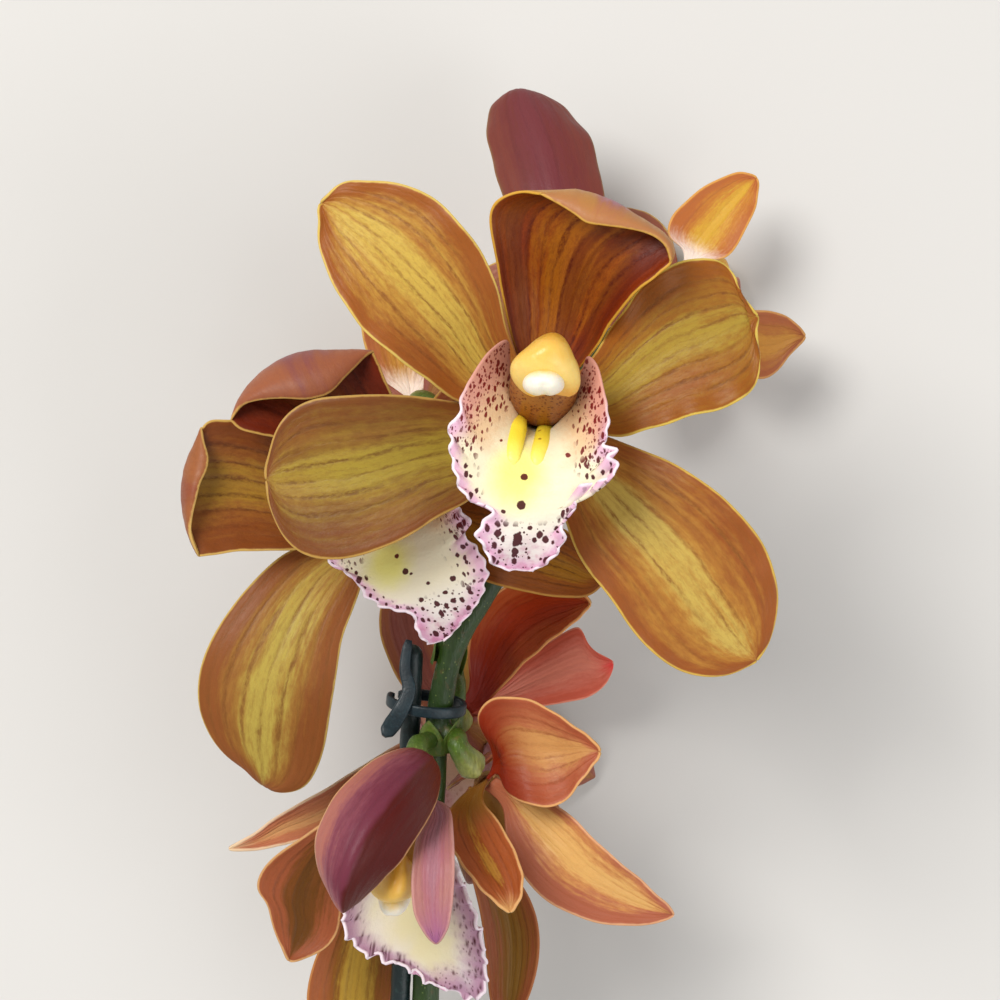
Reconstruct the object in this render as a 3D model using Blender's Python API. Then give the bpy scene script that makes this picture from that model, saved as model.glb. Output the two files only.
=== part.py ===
"""Cymbidium orchid stem, cut and laid on its back: eight open flowers on one arched stem, with the
plastic-coated support stake and the clip that hold it straight.

Millimetres while building, metres in the scene. +Z up, the stem runs along Y (cut end at -Y, youngest
flower at +Y), the front flower looks straight up. The flowers are laid out on a plan seen from one eye
point above: a plan unit is UNIT mm at the front flower's level and grows with depth below it, so that a
flower further down takes a wider place on the plan.
"""
import math

import bpy
import numpy as np

# ------------------------------------------------------------------ driving dimensions, mm
UNIT = 0.155          # one plan unit at the level FRONT_Z
FRONT_Z = 84.0        # level of the front flower's spread
EYE = 534.0           # level of the plan's eye point
TEPAL = 0.9           # thickness of sepals and petals
LIP = 0.8             # thickness of the lip
KNOB = 3.6            # radius of the ovary's flared top
STEM_R = (2.9, 2.35, 1.6)   # stem radius at the cut end, among the flowers, at the last flower
STAKE_R = 1.7
ORIGIN = (1.82, -93.04, 0.05)    # plan point that becomes the part's origin


# ------------------------------------------------------------------ curves and frames
def unit(v):
    v = np.asarray(v, float)
    return v / np.linalg.norm(v)


def at(x, y, z):
    """Plan place (x to the right, y down, from the plan's corner) at height z."""
    s = UNIT * (EYE - z) / (EYE - FRONT_Z)
    return np.array(((x - 500.0) * s, (500.0 - y) * s, z))


def plan(p):
    s = UNIT * (EYE - p[2]) / (EYE - FRONT_Z)
    return np.array((p[0] / s + 500.0, 500.0 - p[1] / s))


def smooth(points, count=160, power=0.5):
    """A smooth curve through the points, as a dense polyline, with each point's index on it."""
    p = np.asarray(points, float)
    if p.ndim == 1:
        p = p[:, None]
    k = np.concatenate(([0.0], np.cumsum(np.maximum(np.linalg.norm(np.diff(p, axis=0), axis=1), 1e-6) ** power)))
    h = np.diff(k)
    d = np.diff(p, axis=0) / h[:, None]
    m = np.empty_like(p)
    m[1:-1] = (d[1:] * h[:-1, None] + d[:-1] * h[1:, None]) / (h[1:] + h[:-1])[:, None]
    m[0], m[-1] = 1.5 * d[0] - 0.5 * m[1] if len(p) > 2 else d[0], 1.5 * d[-1] - 0.5 * m[-2] if len(p) > 2 else d[-1]
    out, where = [], [0]
    per = max(4, count // len(h))
    for i in range(len(h)):
        t = np.linspace(0, 1, per, endpoint=False)[:, None]
        out.append((2 * t**3 - 3 * t**2 + 1) * p[i] + (t**3 - 2 * t**2 + t) * h[i] * m[i]
                   + (-2 * t**3 + 3 * t**2) * p[i + 1] + (t**3 - t**2) * h[i] * m[i + 1])
        where.append(where[-1] + per)
    return np.concatenate(out + [p[-1:]]), where


def along(line, u):
    """Points of a polyline at the fractions u of its length."""
    c = np.concatenate(([0.0], np.cumsum(np.linalg.norm(np.diff(line, axis=0), axis=1))))
    c /= c[-1]
    return np.stack([np.interp(u, c, line[:, i]) for i in range(line.shape[1])], 1)


def ramp(values, u):
    """A smooth function through equally spaced values, read at u in 0..1."""
    x = np.linspace(0, 1, len(values))
    line, _ = smooth(np.stack([x, np.asarray(values, float)], 1), 200, 1.0)
    return np.interp(u, line[:, 0], line[:, 1])


class Flower:
    """centre: plan x, y and height. n: where the flower looks. d: the side on which its lip hangs."""

    def __init__(self, name, x, y, z, n, d, size=1.0):
        self.name, self.c, self.n, self.size = name, at(x, y, z), unit(n), size
        d = np.asarray(d, float)
        self.u = -unit(d - self.n * np.dot(d, self.n))
        self.r = np.cross(self.u, self.n)

    def local(self, x, y, z):
        return self.c + (self.r * x + self.u * y + self.n * z) * self.size


# ------------------------------------------------------------------ sheets: rows of two edges and a bow
def sheet(left, right, bow, t, turn):
    """A grid of points between two edges. bow is how far the middle stands back from the inner side."""
    mid, half = (left + right) / 2, (right - left) / 2
    run = np.gradient(mid, axis=0)
    nrm = np.cross(run, half)
    ln = np.linalg.norm(nrm, axis=1)
    good = ln > 0.15 * ln.max()
    for i in range(len(nrm)):
        if not good[i]:
            j = min((abs(i - k), k) for k in range(len(nrm)) if good[k])[1]
            nrm[i] = nrm[j]
    nrm = nrm / np.linalg.norm(nrm, axis=1)[:, None]
    if np.dot(nrm.mean(0), turn) < 0:
        nrm = -nrm
    t = np.asarray(t)
    return mid[:, None] + t[None, :, None] * half[:, None] - (bow[:, None] * (1 - t[None] ** 2))[..., None] * nrm[:, None]


def outlined(f, level, e1, e2, tip, zs, bows, tilt=(0, 0), face=1, look=(0, 0, 1), u=None, t=None):
    """A sepal or petal by its outline on the plan: two edges from the base, the tip, heights and bows."""
    c = f.c + f.n * level
    first = at(*(np.asarray(e1[0]) + np.asarray(e2[0])) / 2, zs[0])
    d = first - c
    d = unit(d - f.n * np.dot(d, f.n))
    base, side = c + d * 2.3, np.cross(f.n, d) * 1.4
    b1, b2 = plan(base + side), plan(base - side)
    if np.linalg.norm(b1 - e1[0]) + np.linalg.norm(b2 - e2[0]) > np.linalg.norm(b2 - e1[0]) + np.linalg.norm(b1 - e2[0]):
        b1, b2 = b2, b1
    pts = [b1] + list(e1) + [tip] + list(e2)[::-1] + [b2]
    line, where = smooth(pts, 400)
    k = where[len(e1) + 1]
    left, right = along(line[: k + 1], u), along(line[k:][::-1], u)
    z = ramp([base[2]] + list(zs), u)
    lean = ramp(list(tilt), u)
    L = np.array([at(p[0], p[1], h - a) for p, h, a in zip(left, z, lean)])
    R = np.array([at(p[0], p[1], h + a) for p, h, a in zip(right, z, lean)])
    return sheet(L, R, ramp(bows, u), t, np.asarray(look, float) * face)


SHAPES = {
    "petal": (0.14, 0.50, 0.80, 0.96, 1.0, 0.93, 0.72, 0.14),
    "sepal": (0.17, 0.55, 0.85, 1.0, 0.97, 0.84, 0.56, 0.10),
}


def spread(f, level, theta, length, width, b0, b1, bow, shape="petal", twist=0.0, drift=0.0, u=None, t=None):
    """A sepal or petal by rule: theta degrees round from the top, rising b0 and then b1 degrees."""
    a = math.radians(theta)
    length, width = length * f.size, width * f.size
    fine = np.linspace(0, 1, 81)
    ang = np.radians(b0 + (b1 - b0) * fine**1.2)
    turn = a + np.radians(drift) * fine
    step = (np.cos(ang)[:, None] * (np.cos(turn)[:, None] * f.u + np.sin(turn)[:, None] * f.r) + np.sin(ang)[:, None] * f.n)
    d0 = math.cos(a) * f.u + math.sin(a) * f.r
    mid = f.c + f.n * level + d0 * 2.3 + np.concatenate((np.zeros((1, 3)), np.cumsum((step[1:] + step[:-1]) / 2, axis=0))) * length / 80
    M = np.stack([np.interp(u, fine, mid[:, i]) for i in range(3)], 1)
    S = np.stack([np.interp(u, fine, step[:, i]) for i in range(3)], 1)
    across = np.cross(f.n, S)
    across /= np.linalg.norm(across, axis=1)[:, None]
    up = np.cross(S, across)
    tw = np.radians(twist) * u
    across = across * np.cos(tw)[:, None] + up * np.sin(tw)[:, None]
    w = ramp(SHAPES[shape], u) * width / 2
    return sheet(M - across * w[:, None], M + across * w[:, None], ramp(bow, u) * f.size, t, f.n)


def lip_grid(f, u, t, spreadw=1.0):
    """The lip: a trough whose side lobes stand beside the column, a frilled front and a reflexed middle lobe."""
    #        edge x, edge y, edge z,   floor y, floor z
    rows = [(3.3, -1.7, 2.4, -3.0, 2.2),
            (6.4, 5.6, 8.4, -3.2, 6.0),
            (7.1, 9.6, 12.2, -3.3, 9.0),
            (11.0, 2.9, 15.2, -4.2, 12.0),
            (13.3, -4.2, 16.6, -6.4, 14.0),
            (12.6, -9.6, 16.2, -9.6, 15.2),
            (6.5, -13.4, 15.0, -13.2, 15.2),
            (7.5, -18.2, 13.4, -17.6, 14.0),
            (5.6, -22.6, 10.8, -21.6, 11.8),
            (1.2, -25.0, 9.0, -24.6, 9.4)]
    k = np.linspace(0, 1, len(rows))
    line, _ = smooth(np.column_stack([k, np.array(rows)]), 300, 1.0)
    e = np.stack([np.interp(u, line[:, 0], line[:, i]) for i in range(1, 6)], 1)
    out = np.empty((len(u), len(t), 3))
    for j, s in enumerate(t):
        a = abs(s)
        x = math.copysign(1, s) * e[:, 0] * (0.55 * a + 0.45 * math.sin(a * math.pi / 2)) * spreadw
        y = e[:, 3] + (e[:, 1] - e[:, 3]) * a**2.2
        z = e[:, 4] + (e[:, 2] - e[:, 4]) * a**2.0
        out[:, j] = f.c + (x[:, None] * f.r + y[:, None] * f.u + z[:, None] * f.n) * f.size
    return out


LOW_LIP = [    # left margin, middle and right margin of the lower left flower's lip, on the plan
    (399, 807, 57.8, 410, 810, 56.3, 422, 807, 57.8),
    (388, 825, 59.5, 411, 827, 54.6, 430, 823, 58.5),
    (371, 845, 60.0, 413, 846, 53.8, 442, 842, 57.0),
    (361, 866, 60.5, 415, 866, 53.5, 455, 862, 56.5),
    (352, 888, 60.5, 416, 886, 53.5, 464, 884, 56.5),
    (344, 908, 60.2, 417, 904, 53.5, 472, 905, 57.0),
    (343, 926, 59.6, 419, 921, 53.3, 479, 925, 57.0),
    (352, 944, 58.2, 421, 936, 53.0, 484, 945, 56.5),
    (368, 954, 56.4, 424, 949, 52.7, 486, 965, 56.0),
    (388, 961, 55.0, 429, 961, 52.2, 487, 982, 55.0),
    (408, 969, 54.0, 435, 972, 51.6, 482, 995, 54.0),
    (428, 981, 52.8, 442, 982, 51.0, 474, 1001, 52.5),
    (446, 991, 51.4, 450, 989, 50.4, 462, 998, 51.2)]


def plan_lip(f, table, u, t):
    """The same trough with its margins and its middle given on the plan."""
    q = np.array(table, float)
    axes = np.stack([f.r, f.u, f.n], 1)
    cols = [(np.array([at(r[3 * k], r[3 * k + 1], r[3 * k + 2]) for r in q]) - f.c) @ axes for k in range(3)]
    line, _ = smooth(np.concatenate(cols, 1), 600, 0.5)
    e = along(line, u)
    out = np.empty((len(u), len(t), 3))
    for j, s in enumerate(t):
        a = abs(s)
        side, mid = (e[:, :3] if s < 0 else e[:, 6:]), e[:, 3:6]
        h = np.array((0.55 * a + 0.45 * math.sin(a * math.pi / 2), a**2.2, a**2.0))
        q = mid + (side - mid) * h
        out[:, j] = f.c + q[:, :1] * f.r + q[:, 1:2] * f.u + q[:, 2:] * f.n
    return out


def column_rings(f, sides, rings, wide=1.0):
    """The column: an arched, winged rod, thickest under its rounded cap."""
    #        y, z, half width, half depth
    spine = [(-0.2, 2.3, 2.2, 2.0), (0.6, 6.2, 3.3, 2.5), (2.4, 11.0, 4.5, 3.0), (4.6, 15.2, 5.1, 3.5),
             (6.3, 18.6, 5.4, 4.3), (7.4, 21.4, 4.7, 3.9), (8.1, 23.4, 2.6, 2.2)]
    p = np.array(spine)
    k = np.linspace(0, 1, len(p))
    line, _ = smooth(np.column_stack([k, p]), 240, 1.0)
    u = np.linspace(0, 1, rings)
    q = np.stack([np.interp(u, line[:, 0], line[:, i]) for i in range(1, 5)], 1)
    run = np.gradient(q[:, :2], axis=0)
    run /= np.linalg.norm(run, axis=1)[:, None]
    out = np.empty((rings, sides, 3))
    for j in range(sides):
        a = 2 * math.pi * j / sides
        x = q[:, 2] * math.cos(a) * wide
        h = q[:, 3] * math.sin(a) * (1.0 if math.sin(a) > 0 else 0.8)
        out[:, j] = f.c + (x[:, None] * f.r + (q[:, 0] + h * run[:, 1])[:, None] * f.u
                           + (q[:, 1] - h * run[:, 0])[:, None] * f.n) * f.size
    return out


# ------------------------------------------------------------------ the flowers
FRONT = Flower("front", 540, 412, 80.0, (0, 0, 1), (-0.124, -0.992, 0))
LEFT = Flower("left", 410, 507, 53.0, (-0.25, -0.08, 0.96), (0.342, -0.94, 0), 0.92)
LOW_LEFT = Flower("lower_left", 411, 795, 57.5, (-0.10, -0.83, 0.55), (0, -0.55, -0.83), 0.95)
LOW_RIGHT = Flower("lower_right", 480, 776, 43.0, (0.50, -0.72, -0.48), (-0.1, 0.5, -0.86), 0.8)
UNDER = Flower("under", 457, 716, 24.0, (0.10, 0.10, -0.99), (0, -1, 0), 0.9)
BACK_LEFT = Flower("back_left", 422, 408, 22.1, (-0.15, 0.0, -0.99), (-0.64, -0.77, 0), 0.9)
BACK_RIGHT = Flower("back_right", 686, 288, 18.8, (0.16, -0.06, -0.98), (-0.62, -0.72, 0), 0.8)
TOP = Flower("top", 557, 250, 34.0, (-0.15, 0.83, -0.54), (0, -0.54, -0.83), 0.6)

S_LEVEL, P_LEVEL = -0.2, 1.0
SLIM = {"top": 0.45, "lower_left": 0.82, "back_right": 0.85, "lower_right": 0.9}    # narrower lips
NARROW = {"top": 0.45, "lower_left": 0.88}    # and columns


def tepals(u, t):
    k = dict(u=u, t=t)
    o, s = outlined, spread
    g = {}
    f = FRONT
    g["front_left_petal"] = o(f, P_LEVEL, [(505, 325), (498, 290), (480, 250), (462, 225), (440, 204), (418, 190), (395, 183), (370, 181), (345, 182)],
                              [(457, 401), (430, 381), (400, 360), (370, 335), (350, 312), (335, 288), (324, 262), (318, 235)], (320, 203),
                              (83.5, 86.5, 87.5, 86, 84.5), (0.3, 1.5, 2.2, 1.6, 0.6), **k)
    g["front_right_petal"] = o(f, P_LEVEL, [(597, 352), (608, 332), (622, 312), (637, 292), (655, 274), (672, 265), (691, 260), (713, 259), (727, 266), (737, 280), (741, 294)],
                               [(620, 437), (650, 428), (682, 418), (716, 410), (745, 397), (758, 379), (760, 359), (757, 338)], (758, 316),
                               (83.5, 86, 87, 86, 84.5), (0.3, 1.5, 2.0, 1.2, 0.2), **k)
    g["front_dorsal_sepal"] = o(f, S_LEVEL, [(511, 335), (504, 300), (497, 265), (492, 238), (491, 214), (495, 204), (505, 198), (520, 195), (545, 198)],
                                [(597, 346), (612, 321), (632, 296), (655, 275), (669, 262), (668, 249), (657, 238), (643, 231), (622, 228)], (588, 220),
                                (80.2, 82.5, 86.5, 91.5, 96, 98), (0, 1.2, 3.6, 6.2, 8.0, 7.0, 3.0), **k)
    g["front_left_sepal"] = o(f, S_LEVEL, [(455, 402), (420, 397), (380, 395), (345, 396), (312, 400), (290, 412), (275, 432)],
                              [(470, 500), (440, 515), (410, 535), (380, 548), (355, 556), (330, 559), (308, 556), (290, 545), (276, 524)], (266, 480),
                              (82, 84, 84.6, 84.0, 83), (0.3, 1.2, 1.5, 1.2, 0.5), **k)
    g["front_right_sepal"] = o(f, S_LEVEL, [(615, 440), (640, 450), (670, 462), (700, 480), (728, 502), (752, 528), (768, 555), (777, 585), (777, 612), (770, 640)],
                               [(565, 518), (578, 555), (592, 575), (605, 590), (618, 608), (632, 628), (650, 650), (670, 665), (690, 674), (712, 677), (735, 673)], (757, 661),
                               (82, 84.5, 85, 84, 82), (0.3, 1.2, 1.5, 1.2, 0.4), **k)
    f = LEFT
    g["left_left_sepal"] = o(f, S_LEVEL, [(345, 542), (300, 546), (281, 556), (258, 577), (236, 602), (217, 630), (203, 661), (198, 689), (200, 711), (211, 736), (227, 755), (242, 768)],
                             [(368, 566), (360, 589), (352, 611), (342, 636), (336, 674), (330, 711), (325, 742), (317, 767), (305, 786), (289, 792)], (264, 786),
                             (54, 56, 57, 56, 54, 52), (0.3, 0.6, 0, -0.8, -0.8, 0.4), **k)
    g["left_left_petal"] = o(f, P_LEVEL, [(362, 494), (320, 470), (288, 444), (262, 428), (240, 421), (222, 420), (209, 421), (202, 432), (205, 452), (204, 470)],
                             [(352, 520), (325, 540), (300, 549), (261, 550), (236, 551), (211, 555), (199, 556), (191, 550), (188, 533), (191, 515)], (199, 488),
                             (54.5, 57, 61, 64, 67, 69), (0.2, 0.8, 1.2, 1.2, 1.8, 2.6, 2.2), look=(0.2, 0, 1), **k)
    g["left_dorsal_sepal"] = o(f, S_LEVEL, [(350, 455), (300, 440), (258, 434), (236, 427), (233, 414), (245, 404), (262, 400), (285, 398), (305, 399)],
                               [(402, 450), (398, 425), (385, 402), (370, 388), (368, 370), (371, 357), (363, 359), (355, 368)], (336, 386),
                               (56, 60, 64.5, 69, 72.5, 74), (0, 1.2, 3, 5, 6.4, 5.4, 2), look=(0, -0.5, 0.8), **k)
    g["left_right_sepal"] = o(f, S_LEVEL, [(440, 498), (475, 500), (510, 506), (545, 520), (580, 541)],
                              [(430, 545), (460, 570), (495, 584), (530, 592), (562, 597), (590, 595)], (605, 578),
                              (59.5, 61.5, 62, 61, 60), (0.2, 0.8, 1.0, 0.8, 0.2), **k)
    g["left_right_petal"] = s(f, P_LEVEL, 60, 30, 17, 6, 0, (0.2, 0.8, 1, 0.6), **k)
    f = LOW_LEFT
    g["lower_left_dorsal_sepal"] = o(f, S_LEVEL, [(414, 748), (388, 753), (354, 776), (331, 801), (318, 832), (317, 862), (327, 888)],
                                     [(440, 772), (438, 792), (432, 812), (420, 832), (406, 853), (390, 873), (370, 891)], (345, 907),
                                     (69, 77, 80.5, 81, 80), (0.2, 2.0, 4.0, 4.6, 2.4), face=-1, **k)
    g["lower_left_right_petal"] = o(f, P_LEVEL, [(430, 812), (418, 835), (413, 862), (412, 892), (417, 920)],
                                    [(448, 806), (453, 835), (454, 870), (452, 905), (447, 930)], (436, 944),
                                    (67, 75.5, 78, 78.5, 77.5), (0.2, 0.5, 0.6, 0.5, 0.2), **k)
    g["lower_left_left_petal"] = o(f, P_LEVEL, [(385, 790), (342, 812), (305, 836), (280, 852), (262, 872), (257, 890), (267, 903), (272, 922), (280, 945)],
                                   [(398, 806), (372, 822), (352, 842), (341, 870), (341, 900), (338, 930), (325, 948), (303, 959)], (289, 961),
                                   (57, 57, 56, 55, 54), (0.2, 1.0, 1.6, 1.2, 0.4), **k)
    g["lower_left_left_sepal"] = o(f, S_LEVEL, [(374, 812), (360, 860), (340, 905), (324, 940), (310, 975), (308, 1010), (322, 1045)],
                                   [(394, 824), (384, 856), (382, 885), (391, 925), (398, 960), (396, 990), (390, 1020), (378, 1045)], (354, 1062),
                                   (50, 36, 29, 27, 26), (0.2, 1.0, 1.4, 1.0, 0.3), **k)
    g["lower_left_right_sepal"] = o(f, S_LEVEL, [(462, 838), (472, 876), (480, 910), (485, 940), (488, 975), (492, 1005)],
                                    [(480, 830), (508, 866), (528, 895), (538, 925), (539, 950), (534, 980), (525, 1005)], (508, 1028),
                                    (51, 44, 41, 39, 38), (0.2, 1.0, 1.4, 1.0, 0.3), **k)
    f = LOW_RIGHT
    g["lower_right_right_petal"] = o(f, S_LEVEL, [(492, 748), (477, 717), (489, 701), (510, 697), (535, 702), (560, 717), (585, 733)],
                                     [(497, 771), (506, 792), (525, 803), (545, 807), (562, 803), (575, 790), (588, 772)], (600, 752),
                                     (48.8, 53.4, 54, 54.5, 54.5), (0.3, 2.0, 3.4, 2.4, 0.5), **k)
    g["lower_right_right_sepal"] = o(f, P_LEVEL, [(514, 789), (540, 797), (570, 815), (600, 845), (632, 873), (655, 893)],
                                     [(504, 806), (505, 830), (515, 862), (540, 895), (570, 913), (600, 923), (640, 925)], (674, 915),
                                     (46, 50, 50.5, 47.5, 44), (0.2, 1.2, 1.8, 1.5, 0.4), **k)
    g["lower_right_dorsal_sepal"] = o(f, S_LEVEL, [(461, 797), (445, 818), (448, 841), (461, 863), (478, 885), (495, 902)],
                                      [(482, 800), (496, 818), (508, 838), (518, 860), (523, 880), (521, 898)], (510, 912),
                                      (55.5, 62, 66, 68.5, 69), (0.3, 1.4, 2.2, 1.9, 0.6), **k)
    g["lower_right_left_petal"] = s(f, P_LEVEL, -70, 22, 14, 50, 64, (0.2, 1.2, 1.6, 0.8), **k)
    g["lower_right_left_sepal"] = s(f, S_LEVEL, -165, 20, 15, 30, 40, (0.2, 0.8, 1.0, 0.6), shape="sepal", **k)
    f = UNDER
    g["under_dorsal_sepal"] = o(f, S_LEVEL, [(470, 690), (468, 655), (474, 620), (498, 592), (530, 580), (562, 584), (584, 594)],
                                [(475, 712), (504, 685), (520, 667), (538, 651), (555, 637), (572, 624)], (590, 604),
                                (25, 29, 31, 33, 34), (0.3, 2.5, 4.0, 3.0, 0.6), **k)
    g["under_left_petal"] = o(f, P_LEVEL, [(500, 686), (520, 664), (545, 645), (566, 632), (580, 627), (586, 641), (596, 652)],
                              [(498, 707), (522, 708), (547, 705), (570, 701), (590, 696), (606, 683)], (613, 663),
                              (22.5, 22, 23, 24, 24), (0.3, 0.4, 0, -0.4, 0), **k)
    g["under_right_petal"] = o(f, P_LEVEL, [(424, 706), (402, 685), (388, 657), (380, 632), (380, 613), (386, 596)],
                               [(444, 680), (436, 650), (428, 620), (418, 600)], (402, 584),
                               (22.5, 23, 24, 24, 24), (0.3, 0.6, 1.0, 0.8, 0.2), **k)
    g["under_left_sepal"] = s(f, S_LEVEL, -124, 38, 18, 34, 56, (0.2, 0.8, 1.0, 0.6), shape="sepal", **k)
    g["under_right_sepal"] = o(f, S_LEVEL, [(425, 730), (385, 752), (340, 780), (301, 803), (279, 815), (257, 832)],
                               [(438, 748), (405, 785), (360, 815), (318, 835), (288, 843), (257, 850)], (229, 849),
                               (24.6, 27, 30, 33, 35, 36), (0.2, 1.0, 1.6, 1.2, 0.4), **k)
    f = BACK_LEFT
    g["back_left_right_petal"] = o(f, P_LEVEL, [(396, 390), (383, 382), (374, 367), (367, 352), (362, 330), (362, 300), (372, 272)],
                                   [(414, 395), (426, 387), (437, 370), (445, 340), (443, 300), (432, 268)], (404, 246),
                                   (20.8, 21, 21.5, 21.5, 21.5), (0.2, 0.6, 0.8, 0.6, 0.2), **k)
    g["back_left_dorsal_sepal"] = s(f, S_LEVEL, 0, 36, 20, -3, -9, (0.2, 0.8, 1.0, 0.6), shape="sepal", **k)
    g["back_left_left_petal"] = s(f, P_LEVEL, -56, 35, 20, 20, 30, (0.2, 0.8, 1.0, 0.6), **k)
    g["back_left_right_sepal"] = s(f, S_LEVEL, 127, 36, 17, 22, 44, (0.2, 0.8, 1.0, 0.6), shape="sepal", **k)
    g["back_left_left_sepal"] = s(f, S_LEVEL, -122, 38, 20, 16, 26, (0.2, 0.8, 1.0, 0.6), shape="sepal", **k)
    f = BACK_RIGHT
    g["back_right_dorsal_sepal"] = o(f, S_LEVEL, [(684, 250), (668, 236), (671, 218), (684, 204), (704, 187), (727, 176), (743, 172)],
                                     [(700, 262), (724, 258), (736, 246), (745, 230), (753, 214), (757, 200)], (757, 178),
                                     (20.6, 21, 20.5, 19.5, 18), (0.2, 0.8, 1.4, 1.0, 0.4), **k)
    g["back_right_left_petal"] = o(f, P_LEVEL, [(720, 302), (745, 310), (767, 311), (787, 317)],
                                   [(704, 322), (728, 360), (762, 379), (778, 370), (791, 354)], (805, 336),
                                   (19, 18.5, 18, 17.5, 17), (0.2, 0.8, 1.2, 0.8, 0.3), **k)
    g["back_right_right_petal"] = s(f, P_LEVEL, 92, 28, 17, 24, 30, (0.2, 0.8, 1.0, 0.6), **k)
    g["back_right_right_sepal"] = s(f, S_LEVEL, 126, 38, 19, 16, 34, (0.2, 0.8, 1.0, 0.6), shape="sepal", **k)
    g["back_right_left_sepal"] = s(f, S_LEVEL, -158, 30, 18, 12, 22, (0.2, 0.8, 1.0, 0.6), shape="sepal", **k)
    f = TOP
    g["top_dorsal_sepal"] = o(f, S_LEVEL, [(512, 215), (500, 185), (490, 150), (487, 125), (491, 105), (502, 94)],
                              [(604, 215), (600, 178), (593, 147), (575, 115), (555, 98), (540, 94)], (522, 91),
                              (36, 33, 29, 25, 22), (0.4, 2.0, 3.0, 2.5, 0.8), face=-1, **k)
    g["top_left_petal"] = s(f, P_LEVEL, -80, 27, 9, 71, 86, (0.2, 0.8, 1.0, 0.6), **k)
    g["top_right_petal"] = s(f, P_LEVEL, 80, 27, 9, 71, 86, (0.2, 0.8, 1.0, 0.6), **k)
    g["top_left_sepal"] = s(f, S_LEVEL, -115, 26, 11, 60, 92, (0.2, 1.0, 1.4, 0.8), shape="sepal", **k)
    g["top_right_sepal"] = s(f, S_LEVEL, 115, 26, 11, 60, 92, (0.2, 1.0, 1.4, 0.8), shape="sepal", **k)
    return g


# ------------------------------------------------------------------ the stem
def stem_line():
    low = at(436, 740, 42.0)
    end = low + np.array((-9.0, -218.0, -39.1))
    pts = [end, end * 0.66 + low * 0.34, end * 0.33 + low * 0.67, low, at(441, 700, 44.0), at(449, 662, 45.5), at(462, 630, 46.5),
           at(480, 602, 47.2), at(500, 566, 47.8), at(519, 520, 48), at(536, 470, 48), at(551, 415, 47.5), at(562, 362, 46),
           at(569, 318, 43), at(570, 292, 39.8)]
    return smooth(pts, 420)[0], low, end


def stalk(f, start, lift=(0, 0, 0)):
    """A flower's stalk and ovary: leaves the stem, bends to the flower's back and flares under the sepals."""
    back = f.c - f.n * 1.9
    mid = back - f.n * 7.5 * f.size
    pts = [start, start * 0.55 + mid * 0.45 + np.asarray(lift, float), mid, back]
    line, _ = smooth(pts, 120)
    return line


STALKS = {
    "front": (FRONT, at(507, 553, 47.9), (0, 0, 3)),
    "left": (LEFT, at(451, 655, 45.7), (-2, 0, -1.5)),
    "lower_left": (LOW_LEFT, at(436, 738, 42.3), (-1, 0, 2)),
    "lower_right": (LOW_RIGHT, at(438, 736, 42.4), (2.0, 0.5, 0)),
    "under": (UNDER, at(450, 660, 45.5), (1, 0, -4.5)),
    "back_left": (BACK_LEFT, at(529, 493, 48), (0, 0, -3)),
    "back_right": (BACK_RIGHT, at(558, 382, 46.7), (0, 0, 0)),
}


# ------------------------------------------------------------------ solids
def keep_outward(verts, faces):
    v = np.asarray(verts)
    vol = 0.0
    for fc in faces:
        for i in range(1, len(fc) - 1):
            vol += np.dot(v[fc[0]], np.cross(v[fc[i]], v[fc[i + 1]]))
    return faces if vol > 0 else [tuple(reversed(fc)) for fc in faces]


def shell(grid, thick):
    """A closed solid of even thickness, thinner at its margin, round a grid of points."""
    a, b = grid.shape[:2]
    du, dv = np.gradient(grid, axis=0), np.gradient(grid, axis=1)
    n = np.cross(du, dv)
    n /= np.linalg.norm(n, axis=2)[..., None]
    s = np.linspace(-1, 1, b)
    w = (0.5 + 0.5 * (1 - s**4))[None, :] * np.ones((a, 1))
    w[-1] *= 0.6
    h = n * (thick / 2 * w)[..., None]
    verts = np.concatenate(((grid + h).reshape(-1, 3), (grid - h).reshape(-1, 3)))
    q = lambda i, j, k: k * a * b + i * b + j
    faces = []
    for i in range(a - 1):
        for j in range(b - 1):
            faces.append((q(i, j, 0), q(i + 1, j, 0), q(i + 1, j + 1, 0), q(i, j + 1, 0)))
            faces.append((q(i, j, 1), q(i, j + 1, 1), q(i + 1, j + 1, 1), q(i + 1, j, 1)))
    for i in range(a - 1):
        faces.append((q(i, 0, 0), q(i, 0, 1), q(i + 1, 0, 1), q(i + 1, 0, 0)))
        faces.append((q(i, b - 1, 0), q(i + 1, b - 1, 0), q(i + 1, b - 1, 1), q(i, b - 1, 1)))
    for j in range(b - 1):
        faces.append((q(0, j, 0), q(0, j + 1, 0), q(0, j + 1, 1), q(0, j, 1)))
        faces.append((q(a - 1, j, 0), q(a - 1, j, 1), q(a - 1, j + 1, 1), q(a - 1, j + 1, 0)))
    return verts, keep_outward(verts, faces)


def loft(rings):
    """A closed solid through rings of points, with flat ends."""
    a, b = rings.shape[:2]
    faces = [tuple(i * b + j for j in range(b))[::-1] for i in (0,)]
    faces.append(tuple((a - 1) * b + j for j in range(b)))
    for i in range(a - 1):
        for j in range(b):
            k = (j + 1) % b
            faces.append((i * b + j, i * b + k, (i + 1) * b + k, (i + 1) * b + j))
    verts = rings.reshape(-1, 3)
    return verts, keep_outward(verts, faces)


def tube_rings(line, u, radius, sides, start=(1, 0, 0)):
    p = along(line, np.asarray(u, float))
    fine = along(line, np.clip(np.asarray(u) + 0.004, 0, 1)) - along(line, np.clip(np.asarray(u) - 0.004, 0, 1))
    fine /= np.linalg.norm(fine, axis=1)[:, None]
    x = np.asarray(start, float)
    out = []
    for q, r, d in zip(p, radius, fine):
        x = unit(x - d * np.dot(x, d))
        y = np.cross(d, x)
        out.append([q + (x * math.cos(a) + y * math.sin(a)) * r for a in np.arange(sides) * 2 * math.pi / sides])
    return np.array(out)


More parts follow.
